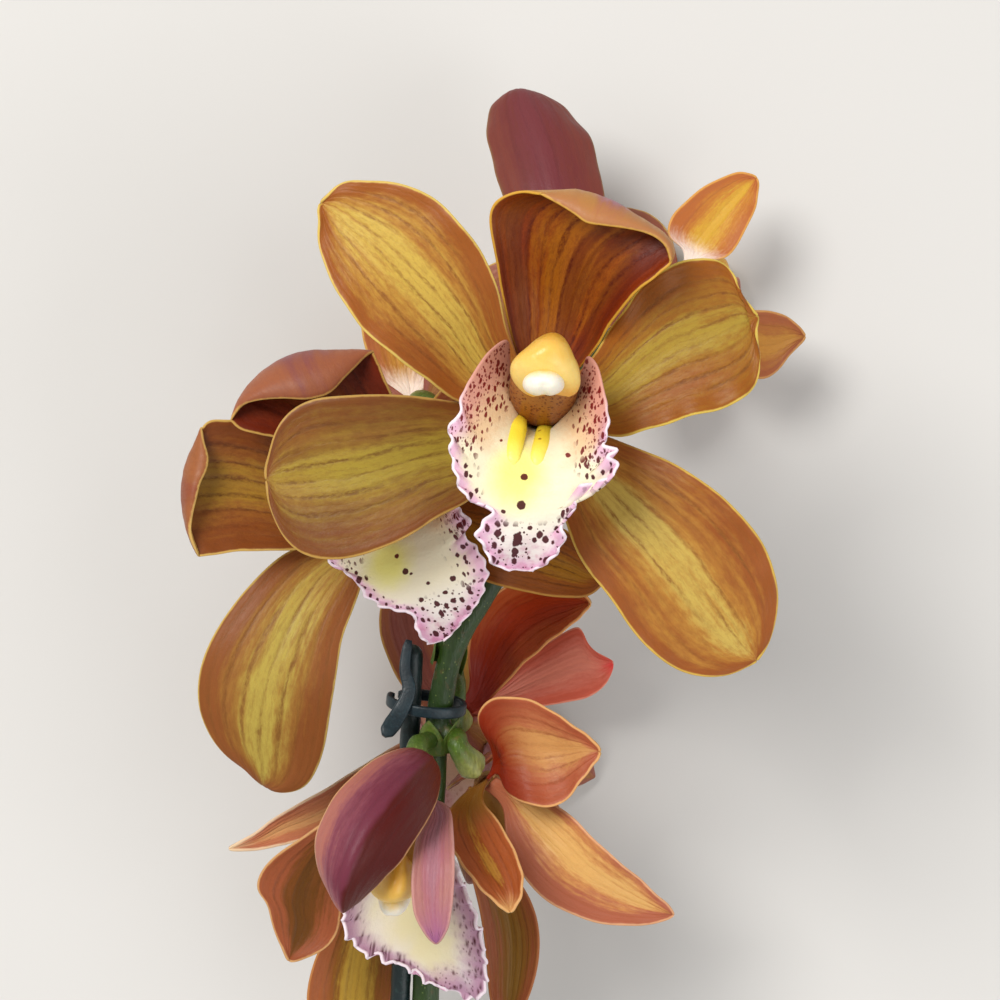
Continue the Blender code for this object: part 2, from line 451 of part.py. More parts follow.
def material(name, colour, rough, metal=0.0):
    m = bpy.data.materials.new(name)
    m.use_nodes = True
    b = m.node_tree.nodes["Principled BSDF"]
    b.inputs["Base Color"].default_value = (*colour, 1)
    b.inputs["Roughness"].default_value = rough
    b.inputs["Metallic"].default_value = metal
    m.diffuse_color = (*colour, 1)
    return m


def add(name, verts, faces, mat, smoothed=True):
    me = bpy.data.meshes.new(name)
    me.from_pydata([tuple((np.asarray(v) - ORIGIN) * 0.001) for v in verts], [], [tuple(int(i) for i in fc) for fc in faces])
    me.validate()
    me.update()
    me.materials.append(mat)
    if smoothed:
        me.shade_smooth()
        me.set_sharp_from_angle(angle=math.radians(50))
    ob = bpy.data.objects.new(name, me)
    bpy.context.scene.collection.objects.link(ob)
    return ob


def main():
    for ob in list(bpy.data.objects):
        bpy.data.objects.remove(ob, do_unlink=True)
    inner = material("tepal_copper_gold", (0.52, 0.26, 0.07), 0.5)
    cream = material("lip_cream_pink", (0.86, 0.68, 0.66), 0.45)
    yellow = material("column_yellow", (0.80, 0.52, 0.14), 0.45)
    green = material("stem_green", (0.12, 0.22, 0.04), 0.5)
    teal = material("clip_teal", (0.03, 0.06, 0.07), 0.4)
    grey = material("stake_green", (0.03, 0.06, 0.04), 0.45)

    u = np.array((0, 0.12, 0.30, 0.50, 0.70, 0.88, 0.975))
    t = np.linspace(-1, 1, 5)
    for name, grid in tepals(u, t).items():
        add(name, *shell(grid, TEPAL), inner)
    flowers = (FRONT, LEFT, LOW_LEFT, LOW_RIGHT, UNDER, BACK_LEFT, BACK_RIGHT, TOP)
    for f in flowers:
        grid = lip_grid(f, np.array((0.02, 0.13, 0.24, 0.36, 0.50, 0.64, 0.78, 0.97)), np.linspace(-1, 1, 7), SLIM.get(f.name, 1.0))
        if f is LOW_LEFT:
            grid = plan_lip(f, LOW_LIP, np.array((0.0, 0.12, 0.26, 0.42, 0.56, 0.70, 0.85, 0.99)), np.linspace(-1, 1, 7))
        add(f.name + "_lip", *shell(grid, LIP), cream)
        add(f.name + "_column", *loft(column_rings(f, 8, 6, NARROW.get(f.name, 1.0))), yellow)

    line, low, end = stem_line()
    k = np.concatenate((np.linspace(0, 0.62, 8), np.linspace(0.66, 1.0, 14)))
    rad = np.interp(k, (0, 0.62, 0.9, 1.0), (STEM_R[0], STEM_R[1], STEM_R[2] + 0.3, STEM_R[2]))
    rings = tube_rings(line, k, rad, 8)
    top = TOP.c - TOP.n * 1.9
    stem = add("stem", *loft(rings), green)
    tools = []

    def flare(start_line, r0, k0=1.0):
        v = np.array((0, 0.18, 0.34, 0.48, 0.62, 0.76, 0.88, 0.96, 1.0))
        return tube_rings(start_line, v, (r0, r0, r0, r0 + 0.1, 1.9, 2.2, 2.6, KNOB * 0.92 * k0, KNOB * k0), 8)

    for key, (f, start, lift) in STALKS.items():
        tools.append(add("stalk_" + key, *loft(flare(stalk(f, start, lift), 1.6, f.size)), green))
    last, _ = smooth([line[-14], line[-1], top - TOP.n * 5 * TOP.size, top], 120)
    tools.append(add("stalk_top", *loft(flare(last, 1.5, 0.75)), green))
    for ob in tools:
        ob.hide_render = True
        ob.display_type = "WIRE"
        m = stem.modifiers.new(ob.name, "BOOLEAN")
        m.operation, m.object, m.solver = "UNION", ob, "EXACT"

    # support stake: straight, beside the stem on its left and a little lower
    off = np.array((-(STEM_R[1] + STAKE_R + 0.7), 0, -1.2))
    up = unit(at(438.5, 720, 43.0) - end)
    b = at(438.5, 720, 43.0) + off + up * 13
    a = b - up * 226
    add("support_stake", *loft(tube_rings(np.array([a, b]), np.linspace(0, 1, 6), [STAKE_R] * 6, 8)), grey)

    # clip: an open ring round the stem and the stake, and a long curved arm with a rounded thumb pad
    hub = at(440.3, 704, 43.8) + off * 0.5
    axis = unit(at(441, 700, 44.0) - low)
    rx = np.cross(axis, (0, 0, 1.0))
    rz = np.cross(rx, axis)
    ring = [hub + rx * 6.6 * math.cos(q) + rz * 4.3 * math.sin(q) for q in np.radians(np.linspace(205, -140, 24))]
    cut = []
    for i, p in enumerate(ring):
        q = unit(ring[min(i + 1, 23)] - ring[max(i - 1, 0)])
        o = np.cross(axis, q)
        cut.append([p + axis * x * 1.4 + o * y * 0.55 for x, y in ((-1, -1), (1, -1), (1, 1), (-1, 1))])
    clip = add("stake_clip", *loft(np.array(cut)), teal, False)
    arm, _ = smooth([at(409, 640, 46.8), at(405, 668, 47.2), at(409, 690, 47.5), at(401, 710, 47.9), at(384, 736, 50)], 120)
    cut = []
    for q, w in zip((0.0, 0.2, 0.4, 0.55, 0.7, 0.85, 0.96, 1.0), (0.8, 0.9, 1.1, 1.2, 1.35, 1.5, 1.3, 0.7)):
        p = along(arm, [q])[0]
        d = unit(along(arm, [min(q + 0.02, 1)])[0] - along(arm, [max(q - 0.02, 0)])[0])
        x = unit(np.cross(d, (0, 0, 1.0)))
        y = np.cross(x, d)
        cut.append([p + x * w * i + y * 0.6 * j for i, j in ((-1, -1), (1, -1), (1, 1), (-1, 1))])
    other = add("clip_arm", *loft(np.array(cut)), teal, False)
    other.hide_render, other.display_type = True, "WIRE"
    m = clip.modifiers.new("arm", "BOOLEAN")
    m.operation, m.object, m.solver = "UNION", other, "EXACT"
    return flowers


main()
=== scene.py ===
import math

import bpy
import numpy as np
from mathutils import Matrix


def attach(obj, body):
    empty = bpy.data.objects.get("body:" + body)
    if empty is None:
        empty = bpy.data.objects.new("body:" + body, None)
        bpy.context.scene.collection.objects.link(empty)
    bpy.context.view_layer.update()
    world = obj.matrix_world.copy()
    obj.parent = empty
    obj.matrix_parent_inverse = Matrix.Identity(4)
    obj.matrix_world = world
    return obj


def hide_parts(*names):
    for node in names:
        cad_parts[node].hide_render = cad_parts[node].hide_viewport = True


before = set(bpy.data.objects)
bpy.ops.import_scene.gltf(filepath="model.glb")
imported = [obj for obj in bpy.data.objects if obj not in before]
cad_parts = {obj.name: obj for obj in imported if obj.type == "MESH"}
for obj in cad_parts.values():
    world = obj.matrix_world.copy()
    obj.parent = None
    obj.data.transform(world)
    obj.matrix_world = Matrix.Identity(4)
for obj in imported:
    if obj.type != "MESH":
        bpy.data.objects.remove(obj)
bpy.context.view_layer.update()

# ============================================================ layout, the same plan as the solids, in mm
UNIT, FRONT_Z, EYE = 0.155, 84.0, 534.0
STEM_R = (2.9, 2.35, 1.6)
STAKE_R = 1.7
KNOB = 3.6
ORIGIN = np.array((1.82, -93.04, 0.05))


def unit(v):
    v = np.asarray(v, float)
    return v / np.linalg.norm(v)


def at(x, y, z):
    s = UNIT * (EYE - z) / (EYE - FRONT_Z)
    return np.array(((x - 500.0) * s, (500.0 - y) * s, z))


def plan(p):
    s = UNIT * (EYE - p[2]) / (EYE - FRONT_Z)
    return np.array((p[0] / s + 500.0, 500.0 - p[1] / s))


def smooth(points, count=160, power=0.5):
    p = np.asarray(points, float)
    if p.ndim == 1:
        p = p[:, None]
    k = np.concatenate(([0.0], np.cumsum(np.maximum(np.linalg.norm(np.diff(p, axis=0), axis=1), 1e-6) ** power)))
    h = np.diff(k)
    d = np.diff(p, axis=0) / h[:, None]
    m = np.empty_like(p)
    m[1:-1] = (d[1:] * h[:-1, None] + d[:-1] * h[1:, None]) / (h[1:] + h[:-1])[:, None]
    m[0], m[-1] = 1.5 * d[0] - 0.5 * m[1] if len(p) > 2 else d[0], 1.5 * d[-1] - 0.5 * m[-2] if len(p) > 2 else d[-1]
    out, where = [], [0]
    per = max(4, count // len(h))
    for i in range(len(h)):
        t = np.linspace(0, 1, per, endpoint=False)[:, None]
        out.append((2 * t**3 - 3 * t**2 + 1) * p[i] + (t**3 - 2 * t**2 + t) * h[i] * m[i]
                   + (-2 * t**3 + 3 * t**2) * p[i + 1] + (t**3 - t**2) * h[i] * m[i + 1])
        where.append(where[-1] + per)
    return np.concatenate(out + [p[-1:]]), where


def along(line, u):
    c = np.concatenate(([0.0], np.cumsum(np.linalg.norm(np.diff(line, axis=0), axis=1))))
    c /= c[-1]
    return np.stack([np.interp(u, c, line[:, i]) for i in range(line.shape[1])], 1)


def ramp(values, u):
    """Evenly spaced values joined by a natural cubic spline."""
    y = np.asarray(values, float)
    n = len(y)
    if n == 2:
        return y[0] + (y[1] - y[0]) * u
    h = 1.0 / (n - 1)
    A, b = np.eye(n), np.zeros(n)
    for i in range(1, n - 1):
        A[i, i - 1:i + 2] = h, 4 * h, h
        b[i] = 6 * (y[i + 1] - 2 * y[i] + y[i - 1]) / h
    m = np.linalg.solve(A, b)
    k = np.clip((np.asarray(u) / h).astype(int), 0, n - 2)
    q = np.asarray(u) / h - k
    p = 1 - q
    return p * y[k] + q * y[k + 1] + ((p**3 - p) * m[k] + (q**3 - q) * m[k + 1]) * h * h / 6


def soften(grid, times):
    g = grid.copy()
    for _ in range(times):
        g[1:-1] = 0.25 * g[:-2] + 0.5 * g[1:-1] + 0.25 * g[2:]
    return g


def sstep(a, b, x):
    t = np.clip((np.asarray(x, float) - a) / (b - a), 0, 1)
    return t * t * (3 - 2 * t)


class Flower:
    def __init__(self, name, x, y, z, n, d, size=1.0):
        self.name, self.c, self.n, self.size = name, at(x, y, z), unit(n), size
        d = np.asarray(d, float)
        self.u = -unit(d - self.n * np.dot(d, self.n))
        self.r = np.cross(self.u, self.n)

    def world(self, q, slim=1.0):
        q = np.asarray(q, float) * self.size
        return self.c + q[..., :1] * slim * self.r + q[..., 1:2] * self.u + q[..., 2:3] * self.n

    def local(self, p):
        d = (np.asarray(p, float) - self.c) / self.size
        return np.stack([d @ self.r, d @ self.u, d @ self.n], -1)


def sheet(left, right, bow, t, turn):
    mid, half = (left + right) / 2, (right - left) / 2
    run = np.gradient(mid, axis=0)
    nrm = np.cross(run, half)
    ln = np.linalg.norm(nrm, axis=1)
    good = ln > 0.15 * ln.max()
    idx = np.where(good)[0]
    for i in range(len(nrm)):
        if not good[i]:
            nrm[i] = nrm[idx[np.argmin(abs(idx - i))]]
    nrm = nrm / np.linalg.norm(nrm, axis=1)[:, None]
    if np.dot(nrm.mean(0), turn) < 0:
        nrm = -nrm
    w = np.ones(9) / 9
    pad = np.concatenate((np.repeat(nrm[:1], 4, 0), nrm, np.repeat(nrm[-1:], 4, 0)))
    nrm = np.stack([np.convolve(pad[:, i], w, "valid") for i in range(3)], 1)
    nrm = nrm / np.linalg.norm(nrm, axis=1)[:, None]
    t = np.asarray(t)
    return mid[:, None] + t[None, :, None] * half[:, None] - (bow[:, None] * (1 - t[None] ** 2))[..., None] * nrm[:, None]


def foot(f, level, aim):
    """The two corners of a tepal's base, on the side of the flower that aim lies on."""
    c = f.c + f.n * level
    d = aim - c
    d = unit(d - f.n * np.dot(d, f.n))
    base, side = c + d * 2.3, np.cross(f.n, d) * 1.4
    return base, base + side, base - side


def outlined(f, level, e1, e2, tip, zs, bows, tilt=(0, 0), face=1, look=(0, 0, 1), u=None, t=None):
    base, c1, c2 = foot(f, level, at(*(np.asarray(e1[0]) + np.asarray(e2[0])) / 2, zs[0]))
    b1, b2 = plan(c1), plan(c2)
    if np.linalg.norm(b1 - e1[0]) + np.linalg.norm(b2 - e2[0]) > np.linalg.norm(b2 - e1[0]) + np.linalg.norm(b1 - e2[0]):
        b1, b2 = b2, b1
    pts = [b1] + list(e1) + [tip] + list(e2)[::-1] + [b2]
    line, where = smooth(pts, 800)
    k = where[len(e1) + 1]
    left, right = along(line[: k + 1], u), along(line[k:][::-1], u)
    z = ramp([base[2]] + list(zs), u)
    lean = ramp(list(tilt), u)
    L = np.array([at(p[0], p[1], h - a) for p, h, a in zip(left, z, lean)])
    R = np.array([at(p[0], p[1], h + a) for p, h, a in zip(right, z, lean)])
    return sheet(L, R, ramp(bows, u), t, np.asarray(look, float) * face), np.asarray(look, float) * face


def hooded(f, level, e1, e2, top, zs, bows, rim, rim_z, look=(0, 0, 1), lift=2.6, u=None, t=None):
    """A tepal whose end turns over towards the viewer: two edges, the line of the fold and the free rim."""
    base, c1, c2 = foot(f, level, at(*(np.asarray(e1[0]) + np.asarray(e2[0])) / 2, zs[0]))
    b1, b2 = plan(c1), plan(c2)
    if np.linalg.norm(b1 - e1[0]) + np.linalg.norm(b2 - e2[0]) > np.linalg.norm(b2 - e1[0]) + np.linalg.norm(b1 - e2[0]):
        b1, b2 = b2, b1
    flap = max(8, len(u) // 5)
    left = along(smooth([b1] + list(e1) + [top[0]], 600)[0], u)
    right = along(smooth([b2] + list(e2) + [top[-1]], 600)[0], u)
    tt = (t + 1) / 2
    T = along(smooth(top, 600)[0], tt)
    K = along(smooth(rim, 600)[0], tt)
    chord = (1 - tt)[:, None] * T[0] + tt[:, None] * T[-1]
    P = (1 - tt)[None, :, None] * left[:, None] + tt[None, :, None] * right[:, None]
    P = P + (u**lift)[:, None, None] * (T - chord)[None]
    z = ramp([base[2]] + list(zs), u)[:, None] - ramp(bows, u)[:, None] * (1 - t[None] ** 2) ** 0.9
    zr = rim_z(tt)
    s = np.linspace(0, 1, flap + 1)[1:]
    a = s * math.pi / 2 * 1.15
    gx, gz = (1 - np.cos(a)) / (1 - math.cos(1.15 * math.pi / 2)), np.sin(a) / math.sin(1.15 * math.pi / 2)
    F = T[None] + gx[:, None, None] * (K - T)[None]
    fz = z[-1][None] + gz[:, None] * (zr - z[-1])[None]
    P, z = np.concatenate((P, F)), np.concatenate((z, fz))
    s = UNIT * (EYE - z) / (EYE - FRONT_Z)
    return np.stack([(P[..., 0] - 500) * s, (500 - P[..., 1]) * s, z], -1), np.asarray(look, float)


SHAPES = {
    "petal": (0.14, 0.50, 0.80, 0.96, 1.0, 0.93, 0.72, 0.14),
    "sepal": (0.17, 0.55, 0.85, 1.0, 0.97, 0.84, 0.56, 0.10),
}


def spread(f, level, theta, length, width, b0, b1, bow, shape="petal", twist=0.0, drift=0.0, u=None, t=None):
    a = math.radians(theta)
    length, width = length * f.size, width * f.size
    fine = np.linspace(0, 1, 81)
    ang = np.radians(b0 + (b1 - b0) * fine**1.2)
    turn = a + np.radians(drift) * fine
    step = (np.cos(ang)[:, None] * (np.cos(turn)[:, None] * f.u + np.sin(turn)[:, None] * f.r) + np.sin(ang)[:, None] * f.n)
    d0 = math.cos(a) * f.u + math.sin(a) * f.r
    mid = f.c + f.n * level + d0 * 2.3 + np.concatenate((np.zeros((1, 3)), np.cumsum((step[1:] + step[:-1]) / 2, axis=0))) * length / 80
    M = np.stack([np.interp(u, fine, mid[:, i]) for i in range(3)], 1)
    S = np.stack([np.interp(u, fine, step[:, i]) for i in range(3)], 1)
    across = np.cross(f.n, S)
    across /= np.linalg.norm(across, axis=1)[:, None]
    up = np.cross(S, across)
    tw = np.radians(twist) * u
    across = across * np.cos(tw)[:, None] + up * np.sin(tw)[:, None]
    w = ramp(SHAPES[shape], u) * width / 2 * np.sqrt(np.clip(1 - sstep(0.9, 1.02, u) * 0.9, 0, 1))
    return sheet(M - across * w[:, None], M + across * w[:, None], ramp(bow, u) * f.size, t, f.n), f.n


FRONT = Flower("front", 540, 412, 80.0, (0, 0, 1), (-0.124, -0.992, 0))
LEFT = Flower("left", 410, 507, 53.0, (-0.25, -0.08, 0.96), (0.342, -0.94, 0), 0.92)
LOW_LEFT = Flower("lower_left", 411, 795, 57.5, (-0.10, -0.83, 0.55), (0, -0.55, -0.83), 0.95)
LOW_RIGHT = Flower("lower_right", 480, 776, 43.0, (0.50, -0.72, -0.48), (-0.1, 0.5, -0.86), 0.8)
UNDER = Flower("under", 457, 716, 24.0, (0.10, 0.10, -0.99), (0, -1, 0), 0.9)
BACK_LEFT = Flower("back_left", 422, 408, 22.1, (-0.15, 0.0, -0.99), (-0.64, -0.77, 0), 0.9)
BACK_RIGHT = Flower("back_right", 686, 288, 18.8, (0.16, -0.06, -0.98), (-0.62, -0.72, 0), 0.8)
TOP = Flower("top", 557, 250, 34.0, (-0.15, 0.83, -0.54), (0, -0.54, -0.83), 0.6)
FLOWERS = (FRONT, LEFT, LOW_LEFT, LOW_RIGHT, UNDER, BACK_LEFT, BACK_RIGHT, TOP)
S_LEVEL, P_LEVEL = -0.2, 1.0
SLIM = {"top": 0.45, "lower_left": 0.82, "back_right": 0.85, "lower_right": 0.9}
NARROW = {"top": 0.45, "lower_left": 0.88}


def tepals(u, t):
    k = dict(u=u, t=t)
    o, s = outlined, spread
    g = {}
    f = FRONT
    g["front_left_petal"] = o(f, P_LEVEL, [(505, 325), (498, 290), (480, 250), (462, 225), (440, 204), (418, 190), (395, 183), (370, 181), (345, 182)],
                              [(457, 401), (430, 381), (400, 360), (370, 335), (350, 312), (335, 288), (324, 262), (318, 235)], (320, 203),
                              (83.5, 86.5, 87.5, 86, 84.5), (0.3, 1.5, 2.2, 1.6, 0.6), **k)
    g["front_right_petal"] = o(f, P_LEVEL, [(597, 352), (608, 332), (622, 312), (637, 292), (655, 274), (672, 265), (691, 260), (713, 259), (727, 266), (737, 280), (741, 294)],
                               [(620, 437), (650, 428), (682, 418), (716, 410), (745, 397), (758, 379), (760, 359), (757, 338)], (758, 316),
                               (83.5, 86, 87, 86, 84.5), (0.3, 1.5, 2.0, 1.2, 0.2), **k)
    g["front_dorsal_sepal"] = hooded(f, S_LEVEL, [(511, 335), (504, 300), (497, 265), (492, 238), (490, 216), (494, 203), (504, 196), (520, 193)],
                                     [(597, 346), (612, 321), (632, 296), (655, 276), (668, 266)],
                                     [(540, 194), (559, 192), (577, 191), (595, 195), (615, 203), (635, 216), (655, 229), (667, 239), (673, 252), (670, 262)],
                                     (80.2, 82.5, 86.5, 91.0, 94.0, 95.0), (0, 1.0, 3.0, 5.2, 5.6, 4.6, 3.4),
                                     [(540, 194), (559, 204), (575, 214), (586, 222), (604, 225), (626, 228), (644, 232), (657, 238), (666, 247), (670, 262)],
                                     lambda q: 95.0 + 2.6 * np.sin(np.pi * q) ** 0.8, **k)
    g["front_left_sepal"] = o(f, S_LEVEL, [(455, 402), (420, 397), (380, 395), (345, 396), (312, 400), (290, 412), (275, 432)],
                              [(470, 500), (440, 515), (410, 535), (380, 548), (355, 556), (330, 559), (308, 556), (290, 545), (276, 524)], (266, 480),
                              (82, 84, 84.6, 84.0, 83), (0.3, 1.2, 1.5, 1.2, 0.5), **k)
    g["front_right_sepal"] = o(f, S_LEVEL, [(615, 440), (640, 450), (670, 462), (700, 480), (728, 502), (752, 528), (768, 555), (777, 585), (777, 612), (770, 640)],
                               [(565, 518), (578, 555), (592, 575), (605, 590), (618, 608), (632, 628), (650, 650), (670, 665), (690, 674), (712, 677), (735, 673)], (757, 661),
                               (82, 84.5, 85, 84, 82), (0.3, 1.2, 1.5, 1.2, 0.4), **k)
    f = LEFT
    g["left_left_sepal"] = o(f, S_LEVEL, [(345, 542), (300, 546), (281, 556), (258, 577), (236, 602), (217, 630), (203, 661), (198, 689), (200, 711), (211, 736), (227, 755), (242, 768)],
                             [(368, 566), (360, 589), (352, 611), (342, 636), (336, 674), (330, 711), (325, 742), (317, 767), (305, 786), (289, 792)], (264, 786),
                             (54, 56, 57, 56, 54, 52), (0.3, 0.6, 0, -0.8, -0.8, 0.4), **k)
    g["left_left_petal"] = hooded(f, P_LEVEL, [(362, 494), (320, 470), (288, 444), (262, 428), (240, 421), (222, 420), (209, 421)],
                                  [(352, 520), (325, 540), (300, 549), (261, 550), (236, 551), (211, 555)],
                                  [(202, 428), (197, 442), (187, 465), (183, 486), (183, 505), (188, 530), (199, 556)],
                                  (54.5, 57, 61, 64, 66), (0.2, 0.8, 1.2, 1.4, 2.0, 1.4),
                                  [(202, 428), (204, 442), (208, 458), (206, 470), (200, 483), (196, 499), (192, 517), (191, 533), (199, 556)],
                                  lambda q: 66.0 + 2.8 * np.sin(np.pi * q) ** 0.8, look=(0.2, 0, 1), lift=5.0, **k)
    g["left_dorsal_sepal"] = hooded(f, S_LEVEL, [(350, 455), (300, 440), (258, 434), (240, 429)],
                                    [(402, 450), (400, 425), (393, 398), (382, 372)],
                                    [(231, 421), (241, 398), (258, 377), (280, 361), (305, 352), (336, 351), (362, 351), (373, 352)],
                                    (56, 60, 64.5, 68.5, 70.5, 71.5), (0, 1.0, 2.4, 3.6, 4.0, 3.6, 3.0),
                                    [(231, 421), (243, 405), (258, 400), (283, 398), (305, 399), (317, 397), (327, 394), (335, 388), (343, 379), (355, 367), (366, 356), (373, 352)],
                                    lambda q: 71.5 + 3.2 * np.sin(np.pi * q) ** 0.8, look=(0, -0.5, 0.8), lift=3.2, **k)
    g["left_right_sepal"] = o(f, S_LEVEL, [(440, 498), (475, 500), (510, 506), (545, 520), (580, 541)],
                              [(430, 545), (460, 570), (495, 584), (530, 592), (562, 597), (590, 595)], (605, 578),
                              (59.5, 61.5, 62, 61, 60), (0.2, 0.8, 1.0, 0.8, 0.2), **k)
    g["left_right_petal"] = s(f, P_LEVEL, 60, 30, 17, 6, 0, (0.2, 0.8, 1, 0.6), **k)
    f = LOW_LEFT
    g["lower_left_dorsal_sepal"] = o(f, S_LEVEL, [(414, 748), (388, 753), (354, 776), (331, 801), (318, 832), (317, 862), (327, 888)],
                                     [(440, 772), (438, 792), (432, 812), (420, 832), (406, 853), (390, 873), (370, 891)], (345, 907),
                                     (69, 77, 80.5, 81, 80), (0, 2.0, 4.0, 4.6, 2.4), face=-1, **k)
    g["lower_left_right_petal"] = o(f, P_LEVEL, [(430, 812), (418, 835), (413, 862), (412, 892), (417, 920)],
                                    [(448, 806), (453, 835), (454, 870), (452, 905), (447, 930)], (436, 944),
                                    (67, 75.5, 78, 78.5, 77.5), (0.2, 0.5, 0.6, 0.5, 0.2), **k)
    g["lower_left_left_petal"] = o(f, P_LEVEL, [(385, 790), (342, 812), (305, 836), (280, 852), (262, 872), (257, 890), (267, 903), (272, 922), (280, 945)],
                                   [(398, 806), (372, 822), (352, 842), (341, 870), (341, 900), (338, 930), (325, 948), (303, 959)], (289, 961),
                                   (57, 57, 56, 55, 54), (0.2, 1.0, 1.6, 1.2, 0.4), **k)
    g["lower_left_left_sepal"] = o(f, S_LEVEL, [(374, 812), (360, 860), (340, 905), (324, 940), (310, 975), (308, 1010), (322, 1045)],
                                   [(394, 824), (384, 856), (382, 885), (391, 925), (398, 960), (396, 990), (390, 1020), (378, 1045)], (354, 1062),
                                   (50, 36, 29, 27, 26), (0.2, 1.0, 1.4, 1.0, 0.3), **k)
    g["lower_left_right_sepal"] = o(f, S_LEVEL, [(462, 838), (472, 876), (480, 910), (485, 940), (488, 975), (492, 1005)],
                                    [(480, 830), (508, 866), (528, 895), (538, 925), (539, 950), (534, 980), (525, 1005)], (508, 1028),
                                    (51, 44, 41, 39, 38), (0.2, 1.0, 1.4, 1.0, 0.3), **k)
    f = LOW_RIGHT
    g["lower_right_right_petal"] = o(f, S_LEVEL, [(492, 748), (477, 717), (489, 701), (510, 697), (535, 702), (560, 717), (585, 733)],
                                     [(497, 771), (506, 792), (525, 803), (545, 807), (562, 803), (575, 790), (588, 772)], (600, 752),
                                     (48.8, 53.4, 54, 54.5, 54.5), (0.3, 2.0, 3.4, 2.4, 0.5), **k)
    g["lower_right_right_sepal"] = o(f, P_LEVEL, [(514, 789), (540, 797), (570, 815), (600, 845), (632, 873), (655, 893)],
                                     [(504, 806), (505, 830), (515, 862), (540, 895), (570, 913), (600, 923), (640, 925)], (674, 915),
                                     (46, 50, 50.5, 47.5, 44), (0.2, 1.2, 1.8, 1.5, 0.4), **k)
    g["lower_right_dorsal_sepal"] = o(f, S_LEVEL, [(461, 797), (445, 818), (448, 841), (461, 863), (478, 885), (495, 902)],
                                      [(482, 800), (496, 818), (508, 838), (518, 860), (523, 880), (521, 898)], (510, 912),
                                      (55.5, 62, 66, 68.5, 69), (0.3, 1.4, 2.2, 1.9, 0.6), **k)
    g["lower_right_left_petal"] = s(f, P_LEVEL, -70, 22, 14, 50, 64, (0.2, 1.2, 1.6, 0.8), **k)
    g["lower_right_left_sepal"] = s(f, S_LEVEL, -165, 20, 15, 30, 40, (0.2, 0.8, 1.0, 0.6), shape="sepal", **k)
    f = UNDER
    g["under_dorsal_sepal"] = o(f, S_LEVEL, [(470, 690), (468, 655), (474, 620), (498, 592), (530, 580), (562, 584), (584, 594)],
                                [(475, 712), (504, 685), (520, 667), (538, 651), (555, 637), (572, 624)], (590, 604),
                                (25, 29, 31, 33, 34), (0.3, 2.5, 4.0, 3.0, 0.6), **k)
    g["under_left_petal"] = o(f, P_LEVEL, [(500, 686), (520, 664), (545, 645), (566, 632), (580, 627), (586, 641), (596, 652)],
                              [(498, 707), (522, 708), (547, 705), (570, 701), (590, 696), (606, 683)], (613, 663),
                              (22.5, 22, 23, 24, 24), (0.3, 0.4, 0, -0.4, 0), **k)
    g["under_right_petal"] = o(f, P_LEVEL, [(424, 706), (402, 685), (388, 657), (380, 632), (380, 613), (386, 596)],
                               [(444, 680), (436, 650), (428, 620), (418, 600)], (402, 584),
                               (22.5, 23, 24, 24, 24), (0.3, 0.6, 1.0, 0.8, 0.2), **k)
    g["under_left_sepal"] = s(f, S_LEVEL, -124, 38, 18, 34, 56, (0.2, 0.8, 1.0, 0.6), shape="sepal", **k)
    g["under_right_sepal"] = o(f, S_LEVEL, [(425, 730), (385, 752), (340, 780), (301, 803), (279, 815), (257, 832)],
                               [(438, 748), (405, 785), (360, 815), (318, 835), (288, 843), (257, 850)], (229, 849),
                               (24.6, 27, 30, 33, 35, 36), (0.2, 1.0, 1.6, 1.2, 0.4), **k)
    f = BACK_LEFT
    g["back_left_right_petal"] = o(f, P_LEVEL, [(396, 390), (383, 382), (374, 367), (367, 352), (362, 330), (362, 300), (372, 272)],
                                   [(414, 395), (426, 387), (437, 370), (445, 340), (443, 300), (432, 268)], (404, 246),
                                   (20.8, 21, 21.5, 21.5, 21.5), (0.2, 0.6, 0.8, 0.6, 0.2), **k)
    g["back_left_dorsal_sepal"] = s(f, S_LEVEL, 0, 36, 20, -3, -9, (0.2, 0.8, 1.0, 0.6), shape="sepal", **k)
    g["back_left_left_petal"] = s(f, P_LEVEL, -56, 35, 20, 20, 30, (0.2, 0.8, 1.0, 0.6), **k)
    g["back_left_right_sepal"] = s(f, S_LEVEL, 127, 36, 17, 22, 44, (0.2, 0.8, 1.0, 0.6), shape="sepal", **k)
    g["back_left_left_sepal"] = s(f, S_LEVEL, -122, 38, 20, 16, 26, (0.2, 0.8, 1.0, 0.6), shape="sepal", **k)
    f = BACK_RIGHT
    g["back_right_dorsal_sepal"] = o(f, S_LEVEL, [(684, 250), (668, 236), (671, 218), (684, 204), (704, 187), (727, 176), (743, 172)],
                                     [(700, 262), (724, 258), (736, 246), (745, 230), (753, 214), (757, 200)], (757, 178),
                                     (20.6, 21, 20.5, 19.5, 18), (0.2, 0.8, 1.4, 1.0, 0.4), **k)
    g["back_right_left_petal"] = o(f, P_LEVEL, [(720, 302), (745, 310), (767, 311), (787, 317)],
                                   [(704, 322), (728, 360), (762, 379), (778, 370), (791, 354)], (805, 336),
                                   (19, 18.5, 18, 17.5, 17), (0.2, 0.8, 1.2, 0.8, 0.3), **k)
    g["back_right_right_petal"] = s(f, P_LEVEL, 92, 28, 17, 24, 30, (0.2, 0.8, 1.0, 0.6), **k)
    g["back_right_right_sepal"] = s(f, S_LEVEL, 126, 38, 19, 16, 34, (0.2, 0.8, 1.0, 0.6), shape="sepal", **k)
    g["back_right_left_sepal"] = s(f, S_LEVEL, -158, 30, 18, 12, 22, (0.2, 0.8, 1.0, 0.6), shape="sepal", **k)
    f = TOP
